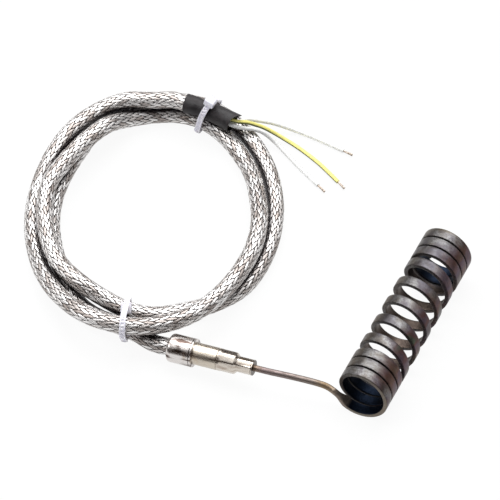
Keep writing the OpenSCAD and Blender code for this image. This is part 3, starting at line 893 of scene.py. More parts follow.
@dataclass(frozen=True)
class Braid(Finish):
    """Bundles of bright wire, over two and under two. UV: turn round the lead, bundles along it."""

    bundles: float
    wires: float = 3.0
    shades: Stops = ((0.0, srgb(160, 151, 146)), (0.35, srgb(208, 203, 200)), (0.75, srgb(243, 241, 240)))
    tarnish: Tint = Tint(srgb(170, 156, 146), 0.56, 0.72, 0.35)
    # Painted shade: darker in the grooves between wires.
    groove: Tint = Tint(srgb(96, 84, 78), 0.55, 0.1, 0.45)
    # Painted shade: near-black in the gaps round each run and where it dives under the crossing bundles.
    gap: Colour = srgb(30, 24, 24)
    gap_shade_amount: float = 0.94
    gap_shade_edge: Range = (0.82, 1.3)
    gap_shade_ragged: float = 0.7
    side_power: float = 2.4
    end_power: float = 4.0
    # Painted shade: near-black where another strand lies close, standing in for the shade between touching
    # strands.
    crevice: Tint = Tint(srgb(34, 25, 28), 0.05, 0.7, 0.94)
    gloss: Range = (0.22, 0.36)
    wire_height: float = 0.3
    scale: float = 330.0
    depth: float = 0.14

    def dress(self, n: Nodes, shader: Node) -> None:
        """Shines by run of a bundle, with painted shade in the grooves between wires, in the gaps round runs
        and where strands touch.

        A bundle of the first lay is on top for two bundles of the second lay, then under for two. A run is
        where it is on top. Across the bundle and along the run the places go from 0 to 1. It is painted
        dark, as shade, where |2 across - 1|^side_power + |2 run - 1|^end_power, made ragged by grain, rises
        through the gap shade's edge range.

        Args:
            n: The material's nodes.
            shader: Its shader.
        """
        turn, pitch = n.split(self.lay(n))
        turn = n.times(turn, self.bundles)
        lays = [n.math("ADD", turn, pitch), n.math("SUBTRACT", turn, pitch)]
        rows = [n.math("FLOOR", lay) for lay in lays]
        along = [n.math("ADD", row, lay) for row, lay in zip(rows, reversed(lays))]
        phase = [n.math("FLOORED_MODULO", x, 4.0) for x in along]
        over = n.math("LESS_THAN", phase[0], 2.0)

        def on_top(first: Input, second: Input) -> Socket:
            """The first value where the first lay is on top, otherwise the second."""
            return n.math("MULTIPLY_ADD", n.math("SUBTRACT", first, second), over, second)

        across = on_top(*(n.math("FRACT", lay) for lay in lays))
        run = on_top(n.times(phase[0], 0.5), n.math("MULTIPLY_ADD", phase[1], 0.5, -1.0))
        number = on_top(*(n.math("FLOOR", n.times(x, 0.25)) for x in along))
        cell = n.add("ShaderNodeCombineXYZ", {0: on_top(*rows), 1: number, 2: over}).outputs[0]
        shine = n.add("ShaderNodeTexWhiteNoise", {"Vector": cell}).outputs[0]
        wire = n.math("ABSOLUTE", n.math("SINE", n.times(across, math.pi * self.wires)))
        coarse, fine = self.grain(n, self.scale)
        off = [n.math("ABSOLUTE", n.math("MULTIPLY_ADD", x, 2.0, -1.0)) for x in (across, run)]
        reach = [n.math("POWER", x, power) for x, power in zip(off, (self.side_power, self.end_power))]
        # Painted shade round runs and at their ends; the same mask also sinks the bump.
        gap = n.fit(n.math("MULTIPLY_ADD", coarse, self.gap_shade_ragged, n.math("ADD", *reach)), *self.gap_shade_edge)
        colour = self.tarnish.over(n, n.ramp(shine, self.shades), coarse)
        # Painted shade in the grooves between wires.
        colour = self.groove.over(n, colour, wire)
        colour = n.mix(n.times(gap, self.gap_shade_amount), colour, self.gap)
        # Painted shade where the lead's strands touch.
        colour = self.crevice.over(n, colour, n.attribute("crevice"))
        height = n.math("SUBTRACT", n.times(wire, self.wire_height), gap)
        self.wire(n, shader, colour, n.spread(fine, *self.gloss), height, self.depth)


@dataclass(frozen=True)
class Striped(Finish):
    """Insulation with a stripe along it. UV: turn round the wire, the stripe's own turns along it."""

    colour: Colour = srgb(243, 234, 136)
    stripe: Colour = srgb(88, 94, 42)
    share: float = 0.27
    stripe_edge: float = 0.03
    worn: Tint = Tint(srgb(214, 202, 118), 0.4, 0.75, 0.25)
    gloss: Range = (0.42, 0.55)
    scale: float = 900.0
    depth: float = 0.02

    def dress(self, n: Nodes, shader: Node) -> None:
        """Paints the stripe where turn + lay is below its share of a turn.

        Args:
            n: The material's nodes.
            shader: Its shader.
        """
        place = n.math("FRACT", n.math("ADD", *n.split(self.lay(n))))
        start = n.fit(place, 0.0, self.stripe_edge)
        stop = n.fit(place, self.share, self.share + self.stripe_edge, 1.0, 0.0)
        coarse, fine = self.grain(n, self.scale)
        colour = n.mix(n.times(start, stop), self.worn.over(n, self.colour, coarse), self.stripe)
        self.wire(n, shader, colour, n.spread(fine, *self.gloss), fine, self.depth)


@dataclass(frozen=True)
class Shrunk(Finish):
    """Matte heat-shrink: brown-black, scuffed, with fine shrink marks along it."""

    colour: Colour = srgb(19, 15, 18)
    scuff: Tint = Tint(srgb(38, 32, 34), 0.4, 0.7)
    speck: Tint = Tint(srgb(70, 62, 62), 0.6, 0.75, 0.5)
    gloss: Range = (0.55, 0.7)
    marks: Range = (14.0, 0.5)
    pits: float = 0.6
    scale: float = 420.0
    depth: float = 0.09

    def dress(self, n: Nodes, shader: Node) -> None:
        """Scuffs from grain, shrink marks from streaks.

        Args:
            n: The material's nodes.
            shader: Its shader.
        """
        coarse, fine = self.grain(n, self.scale)
        broad, _ = self.streaks(n, *self.marks)
        colour = self.speck.over(n, self.scuff.over(n, self.colour, coarse), fine)
        height = n.math("ADD", broad, n.times(fine, self.pits))
        self.wire(n, shader, colour, n.spread(coarse, *self.gloss), height, self.depth)


# Sub-assemblies


@dataclass
class Connector:
    """Stepped connector: x runs from its rear face to the nose's mouth, y sideways, z up.

    A round or groove has pairs of a length and a depth below the radius: collar_round from the rear face,
    collar_groove back from the collar's front, and joint_round to both sides of the joint. Band, shoulder,
    crimp and crimp_end have a share of the flats too, and start from the joint, shoulder_start, crimp_start
    and the mouth. A span of painted shade is two lengths along x, from the collar's front, the joint or
    the mouth.
    """

    floor: float
    length: float = 33.0
    collar_d: float = 10.7
    collar_len: float = 9.8
    collar_round: Pairs = ((0.0, 0.9), (0.15, 0.5), (0.5, 0.16), (1.0, 0.03), (1.6, 0.0))
    collar_groove: Pairs = ((1.0, 0.0), (0.86, 0.1), (0.74, 0.1), (0.62, 0.0))
    # Span of painted shade in the collar's groove.
    collar_groove_shade: tuple[float, float] = (-0.95, -0.6)
    collar_edge: float = 0.16
    cable_grip: float = 5.4
    cable_hole: float = 6.7
    barrel_d: float = 8.24
    barrel_bore: float = 6.8
    edge: float = 0.12
    joint: float = 19.3
    joint_gap: float = 0.05
    joint_round: tuple[float, float] = (0.2, 0.14)
    # Span of painted shade at the joint between barrel and nose.
    joint_shade: tuple[float, float] = (-0.1, 0.12)
    spigot_len: float = 3.5
    spigot_d: float = 7.5
    flats: int = 8
    band: Points = ((0.9, 0.0, 0.1), (1.5, 0.02, 0.9))
    shoulder_start: float = 26.0
    shoulder: Points = ((-0.5, 0.04, 0.9), (0.0, 0.2, 0.5), (0.35, 0.62, 0.2))
    crimp_start: float = 26.9
    crimp_d: float = 5.9
    crimp: Points = ((0.0, 0.0, 0.3), (0.5, 0.0, 0.9))
    crimp_end: Points = ((-0.7, 0.0, 0.9), (-0.5, 0.0, 0.2))
    # Spans of painted shade in the crimp's groove and at the mouth.
    crimp_shade: tuple[float, float] = (-0.62, -0.3)
    mouth_shade: tuple[float, float] = (-0.12, 1.0)
    tail_hole: float = 2.5
    bead_hole: float = 3.9
    bead_seat: tuple[float, float] = (24.8, 27.9)
    bead_gap: float = 0.2
    slip: float = 0.1
    yaw: float = 4.5
    rise: float = 5.8
    rear_x: float = -73.6
    rear_y: float = -5.2
    sides: int = 96

    def axes(self) -> tuple[Array, Array, Array, Array]:
        """Its frame, turned by its yaw and raised by its rise.

        Returns:
            Its rear point and its x, y and z directions.
        """
        yaw, rise = math.radians(self.yaw), math.radians(self.rise)
        x = np.append(math.cos(rise) * heading(yaw), math.sin(rise))
        y = np.append(heading(yaw + math.pi / 2), 0.0)
        rear = np.array([self.rear_x, self.rear_y, self.floor + self.collar_d / 2 * math.cos(rise)])
        return rear, x, y, np.cross(x, y)

    def at(self, x: float, y: float = 0.0, z: float = 0.0) -> Array:
        """The point at x, y, z in the connector's frame."""
        rear, ax, ay, az = self.axes()
        return rear + ax * x + ay * y + az * z

    def turned(self, name: str, rows: Array) -> Surface:
        """A closed profile turned about the axis.

        At an angle a from the middle of the nearest flat, a radius r with share f of the flats becomes
        r (1 - f + f cos(half a flat) / cos(a)).

        Args:
            name: The piece's name.
            rows: Profile points (m, 3) in order round the section: x, radius and share of the flats.

        Returns:
            The surface, with a UV of turn and millimetres along.
        """
        rear, ax, ay, az = self.axes()
        x, radius, share = rows.T[..., None]
        a = round_turn(self.sides, 0.5)
        half = np.pi / self.flats
        r = radius * (1 - share + share * np.cos(half) / np.cos(a % (2 * half) - half))
        rings = rear + x[..., None] * ax + (r * np.cos(a))[..., None] * ay + (r * np.sin(a))[..., None] * az
        along = np.append(x, x[0])
        return Surface(name).add(rings, (shares(self.sides), along), loop=True)

    @staticmethod
    def spans(*places: tuple[float, tuple[float, float]]) -> Pairs:
        """Spans along x, each given as a place and two lengths from it."""
        return tuple((at + start, at + stop) for at, (start, stop) in places)

    def build(self) -> None:
        """Makes collar, barrel and nose, each over its own part."""
        # Spans painted dark as shade: the collar's groove, the joint, the crimp's groove and the mouth.
        groove = self.spans((self.collar_len, self.collar_groove_shade))
        rings = self.spans(
            (self.joint, self.joint_shade), (self.length, self.crimp_shade), (self.length, self.mouth_shade))
        collar = BrightMetal(
            "collar_plating", 1.0, srgb(216, 211, 208), srgb(84, 71, 66),
            amount=1.5, rough=0.22, across=14.0, dark=groove)
        barrel = BrightMetal(
            "barrel_plating", 1.0, srgb(203, 194, 181), srgb(142, 124, 106),
            amount=0.45, rough=0.3, across=18.0)
        nose = BrightMetal(
            "nose_plating", 1.0, srgb(208, 200, 190), srgb(132, 108, 92),
            amount=0.6, rough=0.22, across=15.0, dark=rings)
        for name, node, slot, rows, finish, sharp in (
                ("collar_shell", "rear_collar", "collar", self.collar_rows(), collar, 30.0),
                ("barrel_shell", "connector_barrel", "barrel", self.barrel_rows(), barrel, 30.0),
                ("nose_shell", "nose_ferrule", "ferrule", self.nose_rows(), nose, 25.0)):
            on_lead_end(self.turned(name, rows).put(finish.material(), sharp), slot, node)

    def collar_rows(self) -> Array:
        """The collar: a rounded rear rim, a groove before the front, and seats for lead and barrel.

        Returns:
            Its profile, as turned takes it.
        """
        r, e, edge = self.collar_d / 2, self.collar_len, self.collar_edge
        hole, seat = self.cable_hole / 2, (self.barrel_d + self.slip) / 2
        rows = np.array([
            (0.0, hole), *((x, r - depth) for x, depth in self.collar_round),
            *((e - x, r - depth) for x, depth in self.collar_groove),
            (e - edge, r), (e, r - edge), (e, seat), (self.cable_grip, seat), (self.cable_grip, hole)])
        return np.pad(rows, ((0, 0), (0, 1)))

    def barrel_rows(self) -> Array:
        """The barrel: a plain tube with a step inside for the nose's spigot.

        Returns:
            Its profile, as turned takes it.
        """
        r, bore, step = self.barrel_d / 2, self.barrel_bore / 2, (self.spigot_d + self.slip) / 2
        rear, front = self.cable_grip, self.joint - self.joint_gap
        inner = self.joint - self.spigot_len
        wide, deep = self.joint_round
        rows = np.array([
            (rear, bore), (rear, r - self.edge), (rear + self.edge, r), (front - wide, r),
            (front, r - deep), (front, step), (inner, step), (inner, bore)])
        return np.pad(rows, ((0, 0), (0, 1)))

    def nose_rows(self) -> Array:
        """The nose: spigot, faceted band, cone, a crimp with flats, and the bead's seat inside.

        Returns:
            Its profile, as turned takes it.
        """
        j, mouth, wide, deep = self.joint, self.length, *self.joint_round
        barrel, crimp, spigot = self.barrel_d / 2, self.crimp_d / 2, self.spigot_d / 2
        bore, hole, bead = self.barrel_bore / 2, self.tail_hole / 2, self.bead_hole / 2
        rear, seat = j - self.spigot_len + self.joint_gap, self.bead_seat[0] + self.bead_gap
        stop, edge = self.bead_seat[1], self.edge
        stretches = (
            (j, barrel, self.band), (self.shoulder_start, barrel, self.shoulder),
            (self.crimp_start, crimp, self.crimp), (mouth, crimp, self.crimp_end))
        outside = [(start + x, radius - depth, share)
                   for start, radius, rows in stretches for x, depth, share in rows]
        return np.array([
            (rear, bore, 0), (rear, spigot, 0), (j, spigot, 0), (j, barrel - deep, 0), (j + wide, barrel, 0),
            *outside, (mouth - edge, crimp, 0), (mouth, crimp - deep, 0), (mouth, hole + edge, 0),
            (mouth - edge, hole, 0), (stop, hole, 0), (stop, bead, 0), (seat, bead, 0), (seat, bore, 0)])


@dataclass
class Heater:
    """The wound strip with its tail, the filling and the resistance wire inside it.

    Angles are in degrees, and tail_bend has heights above the table. A row of lip is a length past the far
    end and a scale of the section. The rim's mask, which places the painted rim shade and the bevel's
    painted highlight, starts rim_from inside the strip's edges, rises over rim_fade, and leaves out what is
    within rim_height of the middle. The tail is round from tail_round_at
    on, an index into its points.
    """

    bore_d: float = 17.0
    strip_t: float = 1.6
    strip_w: float = 4.2
    turn_gap: float = 0.45
    open_pitch: float = 9.7
    near_turns: float = 2.95
    open_turns: float = 5.2
    far_turns: float = 2.85
    pitch_ramp: float = 0.3
    leave_angle: float = -131.0
    edge_radius: float = 0.34
    rim_from: float = 0.42
    rim_fade: float = 0.3
    rim_height: float = 0.3
    lip: Pairs = ((0.12, 0.9), (0.2, 0.7))
    tail_d: float = 2.4
    tail_straight: float = 3.0
    tail_bend: Points = ((-14.2, 1.9, 7.9), (-19.8, 0.6, 9.1), (-27.5, -0.8, 9.3))
    mouth_straight: float = 6.0
    tail_end_x: float = 26.5
    tail_round_at: float = 2.5
    tail_least: float = -0.2
    bend_steps: int = 3
    tail_steps: int = 5
    rings_per_turn: int = 48
    sheath_wall: float = 0.4
    fill_gap: float = 0.03
    fill_radius: float = 0.08
    fill_rings: int = 24
    plug_len: float = 2.0
    plug_gap: float = 0.2
    leg_spacing: float = 1.5
    leg_start: float = 1.6
    leg_stop: float = 1.0
    heat_wire: float = 0.36
    heat_wire_sides: int = 8
    hairpin_reach: float = 0.6
    hairpin_points: int = 7

    @property
    def mid_r(self) -> float:
        """Radius at the middle of the strip."""
        return (self.bore_d + self.strip_t) / 2

    @property
    def lap(self) -> float:
        """Length of one turn, without its pitch."""
        return 2 * math.pi * self.mid_r

    @property
    def closed_pitch(self) -> float:
        """Pitch of the closed turns."""
        return self.strip_w + self.turn_gap

    @property
    def floor(self) -> float:
        """Height of the table: the lowest point of the outer turns."""
        return -(self.bore_d / 2 + self.strip_t)

    @property
    def turns(self) -> float:
        """Turns in all."""
        return self.near_turns + self.open_turns + self.far_turns

    def ramped(self, t: Array) -> Array:
        """0 below 0, then t^2 / (2 ramp) up to the pitch ramp, and t - ramp / 2 from there on."""
        r = self.pitch_ramp
        return np.where(t <= 0, 0.0, np.where(t < r, t * t / (2 * r), t - r / 2))

    def centre_y(self, t: Array) -> Array:
        """Place along the bore: the closed pitch, with the open pitch ramped in between.

        Args:
            t: Turns from the lead end.

        Returns:
            Lengths along +Y.
        """
        stop = self.near_turns + self.open_turns - self.pitch_ramp
        wide = self.ramped(t - self.near_turns) - self.ramped(t - stop)
        return self.strip_w / 2 + self.closed_pitch * t + (self.open_pitch - self.closed_pitch) * wide

    def coil_spine(self, t: Array) -> Spine:
        """Frames along the coil: side is +Y, and up points away from the bore's axis.

        Args:
            t: Turns from the lead end.

        Returns:
            The spine.
        """
        a = np.radians(self.leave_angle + 360.0 * t)
        zero = np.zeros_like(a)
        up = np.stack([np.cos(a), zero, np.sin(a)], axis=1)
        along = np.stack([-np.sin(a), zero, np.cos(a)], axis=1)
        centre = self.mid_r * up + self.centre_y(t)[:, None] * BORE_AXIS
        return Spine(centre, along, np.broadcast_to(BORE_AXIS, up.shape), up)

    def tail_points(self, plug: Connector) -> Array:
        """The tail's own points: straight off the coil, through its bends, and straight into the nose.

        Args:
            plug: The connector that the tail ends in.

        Returns:
            The points, with the first just inside the coil and the second where the tail leaves it.
        """
        a = math.radians(self.leave_angle)
        leave = unit(np.array([math.sin(a), -self.closed_pitch / self.lap, -math.cos(a)]))
        first = self.coil_spine(np.array([1.0 / self.lap, 0.0])).centre
        bends = np.array(self.tail_bend) + self.floor * UP
        mouth = [plug.at(plug.length + ahead) for ahead in (self.mouth_straight, 0.0)]
        near, far = (first[1] + k * self.tail_straight * leave for k in (1, 2))
        arch, _ = through(np.array([far, *bends, *mouth]), self.bend_steps)
        return np.concatenate([first, [near], arch, [plug.at(self.tail_end_x)]])

    def tail_spine(self, plug: Connector) -> tuple[Spine, Array]:
        """Frames along the tail towards the coil, with side as near to +Y as it can be.

        Args:
            plug: The connector that the tail ends in.

        Returns:
            The spine, and each ring's place as an index into the tail's points.
        """
        curve, at = through(self.tail_points(plug), self.tail_steps)
        keep = at > 1
        curve, at = curve[keep][::-1], at[keep][::-1]
        start = self.coil_spine(np.array([0.0]))
        along = unit(np.gradient(np.concatenate([curve, start.centre]), axis=0))[:-1]
        side = unit(BORE_AXIS - along[:, 1:2] * along)
        return Spine(curve, along, side, np.cross(side, along)), at

    def strand(self, plug: Connector, t: Array, inset: float, radius: float) -> tuple[Array, Array]:
        """Rings of the strip's section: round along the tail, flat by the coil, then carried round the coil.

        Args:
            plug: The connector that the tail ends in.
            t: Turns at which the coil has a ring.
            inset: How far the section lies inside the strip's own.
            radius: Radius of its edges.

        Returns:
            The rings and the flat section.
        """
        flat = rounded_rectangle(self.strip_w - 2 * inset, self.strip_t - 2 * inset, radius)
        disc = (self.tail_d / 2 - inset) * heading(round_turn(len(flat), 0.5))
        tail, at = self.tail_spine(plug)
        m = smooth((at - 1) / (self.tail_round_at - 1))[:, None, None]
        return np.concatenate([tail.sweep(flat * (1 - m) + disc * m), self.coil_spine(t).sweep(flat)]), flat

    def build(self, plug: Connector) -> None:
        """Makes strip, filling and resistance wire, each in place of its parts.

        Args:
            plug: The connector that the tail ends in.
        """
        self.strip(plug)
        stop = self.turns - (self.plug_len + self.plug_gap) / self.lap
        self.filling(plug, stop)
        self.hairpin(stop)

    def strip(self, plug: Connector) -> None:
        """The strip with its tail, and a small round lip at its far end.

        Args:
            plug: The connector that the tail ends in.
        """
        t = np.linspace(0.0, self.turns, round(self.turns * self.rings_per_turn) + 1)
        rings, flat = self.strand(plug, t, 0.0, self.edge_radius)
        tail_rows = len(rings) - len(t)
        ahead, scale = np.array(self.lip).T
        lip = self.coil_spine(self.turns + ahead / self.lap).sweep(flat * scale[:, None, None])
        rings = np.concatenate([rings, lip])
        wide, high = np.abs(flat.T)
        edge = smooth((wide - self.strip_w / 2 + self.rim_from) / self.rim_fade) * (high > self.rim_height)
        length = arc_of(rings.mean(axis=1))
        tail = np.maximum(1.0 - length / length[tail_rows], self.tail_least)[:, None]
        size = rings.shape[:2]
        made = Surface("heating_strip").add(
            rings, (shares(len(flat)), length), face=np.broadcast_to(flat[:, 1] / (self.strip_t / 2), size),
            edge=np.broadcast_to(edge, size), tail=np.broadcast_to(tail, size))
        piece = made.put(HeatedStrip("heated_strip", 0.9).material(), sharp=50.0)
        self.stretch(piece, "sheath", "coil_near_turns", "coil_open_turns", "coil_far_turns")

    def filling(self, plug: Connector, stop: float) -> None:
        """The pressed filling, sealed in the strip.

        Args:
            plug: The connector that the tail ends in.
            stop: Turns up to the end plug.
        """
        t = np.linspace(0.0, stop, round(stop * self.fill_rings) + 1)
        rings, _ = self.strand(plug, t, self.sheath_wall + self.fill_gap, self.fill_radius)
        powder = Plain(
            "pressed_magnesia", 0.0, srgb(238, 236, 228), srgb(220, 216, 204), rough=0.85, scale=900.0)
        piece = Surface("magnesia_filling").add(rings).put(powder.material())
        self.stretch(piece, "magnesia", "mgo_filling")

    def hairpin(self, stop: float) -> None:
        """The resistance wire: two legs along the coil and half an ellipse that joins them.

        Args:
            stop: Turns up to the end plug.
        """
        first, last = self.leg_start / self.lap, stop - self.leg_stop / self.lap
        t = np.linspace(first, last, round(stop * self.fill_rings))
        half = self.leg_spacing / 2
        bend = np.linspace(np.pi / 2, -np.pi / 2, self.hairpin_points + 2)[1:-1, None]
        coil, tip = self.coil_spine(t), self.coil_spine(np.full(len(bend), t[-1]))
        turn = tip.centre + half * (np.sin(bend) * tip.side + self.hairpin_reach * np.cos(bend) * tip.along)
        path = np.concatenate([coil.beside(half, 0.0), turn, coil.beside(-half, 0.0)[::-1]])
        up = np.concatenate([coil.up, tip.up, coil.up[::-1]])
        along = unit(np.gradient(path, axis=0))
        wire = Spine(path, along, unit(np.cross(up, along)), up)
        alloy = Plain(
            "resistance_alloy", 0.9, srgb(150, 128, 110), srgb(104, 88, 80), rough=0.5, scale=700.0)
        made = Surface("hairpin_wire").add(wire.sweep(circle(self.heat_wire / 2, self.heat_wire_sides)))
        self.stretch(made.put(alloy.material()), "resistance_alloy", "resistance_wire")

    def stretch(self, piece: Piece, slot: str, *nodes: str) -> None:
        """Puts a piece in place of the parts that it stands for, with its transform baked into its mesh.

        Args:
            piece: The piece.
            slot: Its material slot. Not used.
            *nodes: The parts that it stands for.
        """
        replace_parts(piece, *nodes)
        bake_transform(piece)


@dataclass
class CableTie:
    """A nylon tie: a strap with a ladder of ridges, pulled tight round strands, and its head.

    The strap is turned about the vertical and tilted, in degrees, from square to the strands. The head sits
    on one of them, at an angle from sideways. The ladder's top and foot end at shares of half the width.
    """

    name: str
    node: str
    centres: Array
    radii: tuple[float, ...]
    ahead: Array
    turn: float
    tilt: float
    head_on: int
    head_angle: float
    width: float = 2.2
    thick: float = 1.0
    gap: float = 0.25
    askew_room: float = 0.21
    head: float = 4.0
    head_height: float = 3.0
    head_radius: float = 0.45
    edge: float = 0.1
    top_edge: float = 0.12
    ridge: float = 0.2
    ridge_sink: float = 0.1
    ridge_pitch: float = 1.2
    ladder: tuple[float, float] = (0.4, 0.5)
    steps: int = 420

    def build(self, nylon: Material) -> Piece:
        """Makes the tie in place of its part.

        The strands are carried along their own direction into the strap's plane, and the strap is pulled
        tight round them there.

        Args:
            nylon: What it is made of.

        Returns:
            The piece.
        """
        (c, s), tilt = heading(math.radians(self.turn)), math.radians(self.tilt)
        level = np.array([(c, -s, 0.0), (s, c, 0.0), (0.0, 0.0, 0.0)]) @ self.ahead
        axis = math.cos(tilt) * level + math.sin(tilt) * UP
        side = unit(np.cross(axis, UP))
        frame = np.stack([side, np.cross(side, axis)])
        square = float(axis @ self.ahead)
        off = self.centres - self.centres[0]
        flat = (off - (off @ axis / square)[:, None] * self.ahead) @ frame.T
        room = np.array(self.radii) / square + self.width / 2 * math.tan(math.acos(square)) + self.gap
        middle, normal = hull_outline(flat, room + self.thick / 2, self.steps)
        made = Surface(self.name)
        at, across = self.strap(middle, normal)
        made.add(self.centres[0] + at @ frame + across[:, None] * axis, loop=True)
        out = heading(math.radians(self.head_angle))
        spot = flat[self.head_on] + (room[self.head_on] + (self.thick + self.head_height) / 2) * out
        half = np.array([self.head, self.head_height, self.head]) / 2
        turned = np.stack([np.array([-out[1], out[0]]) @ frame, out @ frame, axis])
        made.add(self.centres[0] + spot @ frame + rounded_block(half, self.head_radius) @ turned)
        return on_lead_end(made.put(nylon, sharp=35.0), "nylon", self.node)

    def strap(self, middle: Array, normal: Array) -> tuple[Array, Array]:
        """The strap's section carried round its outline, with a ladder that rises and falls as a sine.

        Args:
            middle: Outline at the strap's mid thickness (m, 2).
            normal: Its outward normals.

        Returns:
            Points in the strap's plane (m, n, 2) and each section point's place across the strap (n).
        """
        w, h, edge, top = self.width / 2, self.thick / 2, self.edge, self.top_edge
        low, high = (share * w for share in self.ladder)
        section = np.array([
            (-w, -h + edge), (-w, h - top), (-w + edge, h), (-high, h), (-low, h), (low, h), (high, h),
            (w - edge, h), (w, h - top), (w, -h + edge), (w - edge, -h), (-w + edge, -h)])
        place = arc_of(np.concatenate([middle, middle[:1]]))[:-1]
        rise = self.ridge * np.sin(2 * np.pi * place / self.ridge_pitch) - self.ridge_sink
        on_ladder = np.abs(section[:, 0]) <= low
        out = section[:, 1] + rise[:, None] * on_ladder
        return middle[:, None] + normal[:, None] * out[..., None], section[:, 0]


@dataclass
class Lead:
    """The braided lead: its route, braid, wires, heat-shrink and ties.

    Rows of lead_lie are turns, sideways shift and height. The other points have heights above the table. A
    tie leans by a turn and a tilt, and its head has the strand that it sits on and its angle there. A pinch,
    flare, roll or lip of the heat-shrink is a size and the length that it fades over. A row of ripples is a
    count of waves round it and the length in which they shift by a radian. The lip's angle and spread are in
    radians, other angles in degrees.
    """

    plug: Connector
    cable_d: float = 6.6
    solid_sides: int = 6
    wire_d: float = 1.6
    conductor_d: float = 0.8
    wire_ring: float = 1.15
    wire_angles: tuple[float, float, float] = (90.0, -30.0, 210.0)
    bare_len: float = 4.0
    loop_a: float = 52.9
    loop_b: float = 42.3
    loop_tilt: float = 107.7
    loop_x: float = -108.5
    loop_y: float = 50.9
    strand_side: float = 3.55
    loop_start: float = -90.5
    loop_rings: int = 24
    lower_tie_at: int = 23
    lower_lean: tuple[float, float] = (12.0, 0.0)
    lower_head: tuple[int, float] = (0, 120.0)
    upper_tie_at: int = 12
    upper_lean: tuple[float, float] = (0.0, -14.0)
    upper_head: tuple[int, float] = (2, 90.0)
    hop_reach: float = 0.06
    first_ring: int = 1
    last_ring: int = 58
    splice_x: float = 13.2
    splice_side: float = 1.55
    splice_gap: float = 0.3
    earth_x: float = 9.6
    earth_disc_t: float = 1.2
    earth_gap: float = 0.6
    earth_clear: float = 1.0
    pin_reach: float = 3.0
    lead_lie: Points = (
        (0, 1.5, 0), (0.12, -strand_side, 0), (0.265, -strand_side, 0), (0.385, strand_side, 0),
        (0.5, 2.75, 0), (0.62, 2.7, 0), (0.78, strand_side, 0), (0.89, -2.6, 0), (0.93, -2.4, 0),
        (0.96, -3.3, 0.9), (1, -4, 3.4), (1.05, -2.2, 7.2), (1.1, -1.3, 7.2), (1.2, -1.3, 7.2),
        (1.27, -5, 7.1), (1.33, -6, 6.8), (1.4, -3.65, 0), (1.5, -4.4, 0), (1.56, -4.65, 0), (1.66, -4, 3.6),
        (1.73, -1, 6.2), (1.8, 1.6, 7.2), (1.96, 9.2, 7.8), (1.985, 9, 7.8), (2.06, 5.4, 4.2),
        (2.14, strand_side, 0.2), (2.2, strand_side, 0.2), (2.29, 2.1, 7.1), (2.36, 1.3, 7.1),
        (2.45, -3.8, 7.1))
    lead_in: Points = ((-88, -4.5, 4.7), (-95.5, -4.2, 4.8), (-104, -3.6, 3.9), (-111.5, -1.5, 3.1))
    lead_out: Points = ((-124.5, 98, 11.4), (-119, 98.2, 12), (-113, 98.6, 12.1), (-107, 98.4, 12))
    shrink_mouth: tuple[float, float, float] = (-98.9, 97.7, 11.5)
    earth_free: Points = (
        (-94.4, 100.9, 10.4), (-89.2, 104.7, 6.2), (-82.1, 106.6, 1.8), (-73.7, 105.2, 0.8),
        (-63.5, 101.5, 0.8), (-53.6, 96.6, 0.8))
    power_1_free: Points = (
        (-94, 98.9, 9.2), (-88.8, 102, 6.7), (-82.6, 102.8, 1.9), (-71, 97.2, 0.8), (-59.7, 91.7, 0.8))
    power_2_free: Points = (
        (-95.6, 104.4, 7.8), (-88.5, 109.6, 4.2), (-79.3, 112.4, 1.3), (-68.7, 112.5, 0.8),
        (-58.3, 111.6, 0.8))
    route_steps: int = 8
    braid_sides: int = 96
    braid_step: float = 0.8
    bundles: int = 16
    lay_length: float = 64.0
    braid_relief: float = 0.16
    bundle_wave: float = 0.6
    braid_clear: float = 0.02
    # Reach and sampling of the mask for the painted shade where strands touch.
    crevice_reach: float = 3.2
    crevice_stride: int = 4
    crevice_near: int = 8
    crevice_apart: float = 6.0
    wire_sides: int = 14
    wire_step: float = 1.6
    wire_steps: int = 6
    free_steps: int = 2
    cut_end: float = 0.92
    stripe_lay: float = 2600.0
    stripe_start: float = -0.11
    core_sides: int = 8
    strands: int = 7
    strand_sides: int = 6
    strand_steps: int = 12
    strand_twist: float = 0.8
    strand_splay: float = 0.5
    shrink_wall: float = 0.3
    shrink_gap: float = 0.12
    shrink_sides: int = 72
    shrink_step: float = 0.3
    shrink_steps: int = 10
    pinch: tuple[float, float] = (0.32, 1.3)
    pinch_inside: float = 0.6
    flare: tuple[float, float] = (0.22, 5.0)
    rolled: tuple[float, float] = (0.08, 0.8)
    ripple: float = 0.05
    ripples: Pairs = ((3, 3.1), (5, -2.3))
    ripple_inside: float = 0.5
    lip: tuple[float, float] = (2.2, 3.0)
    lip_angle: float = 2.3
    lip_spread: float = 0.75
    lip_round: float = 0.06
    yellow: Striped = Striped("earth_insulation", 0.0)
    white: Plain = Plain("power_insulation", 0.0, srgb(240, 240, 238), srgb(226, 226, 224), 0.45, 900.0)
    tinned: Plain = Plain("tinned_strands", 0.9, srgb(206, 196, 186), srgb(168, 150, 134), 0.35, 2500.0)

    @property
    def floor(self) -> float:
        """Height of the table."""
        return self.plug.floor

    def lift(self, points: Points) -> Array:
        """Points with heights above the table, in the frame."""
        return np.array(points, float) + self.floor * UP

    def lie(self, s: Array) -> Array:
        """Sideways shift and height after s turns, through the rows of lead_lie.

        Between two rows the value goes by the smooth step. Its slope at a row is the harmonic mean of the
        slopes on both sides, or zero where they differ in sign, so it never overshoots a row.

        Args:
            s: Turns from the loop's start.

        Returns:
            Shift and height along a new last axis.
        """
        rows = np.array(self.lead_lie, float)
        at, value = rows[:, 0], rows[:, 1:]
        h = np.diff(at)[:, None]
        step = np.diff(value, axis=0) / h
        before, after = step[:-1], step[1:]
        same = before * after > 0
        slope = np.zeros_like(value)
        slope[1:-1] = np.where(same, 2 * before * after / np.where(same, before + after, 1.0), 0.0)
        i = np.clip(np.searchsorted(at, s, side="right") - 1, 0, len(h) - 1)
        u = np.clip((s - at[i])[..., None] / h[i], 0.0, 1.0)
        bent = u * (1 - u) * (slope[i] * (1 - u) - slope[i + 1] * u)
        return value[i] + h[i] * (step[i] * smooth(u) + bent)

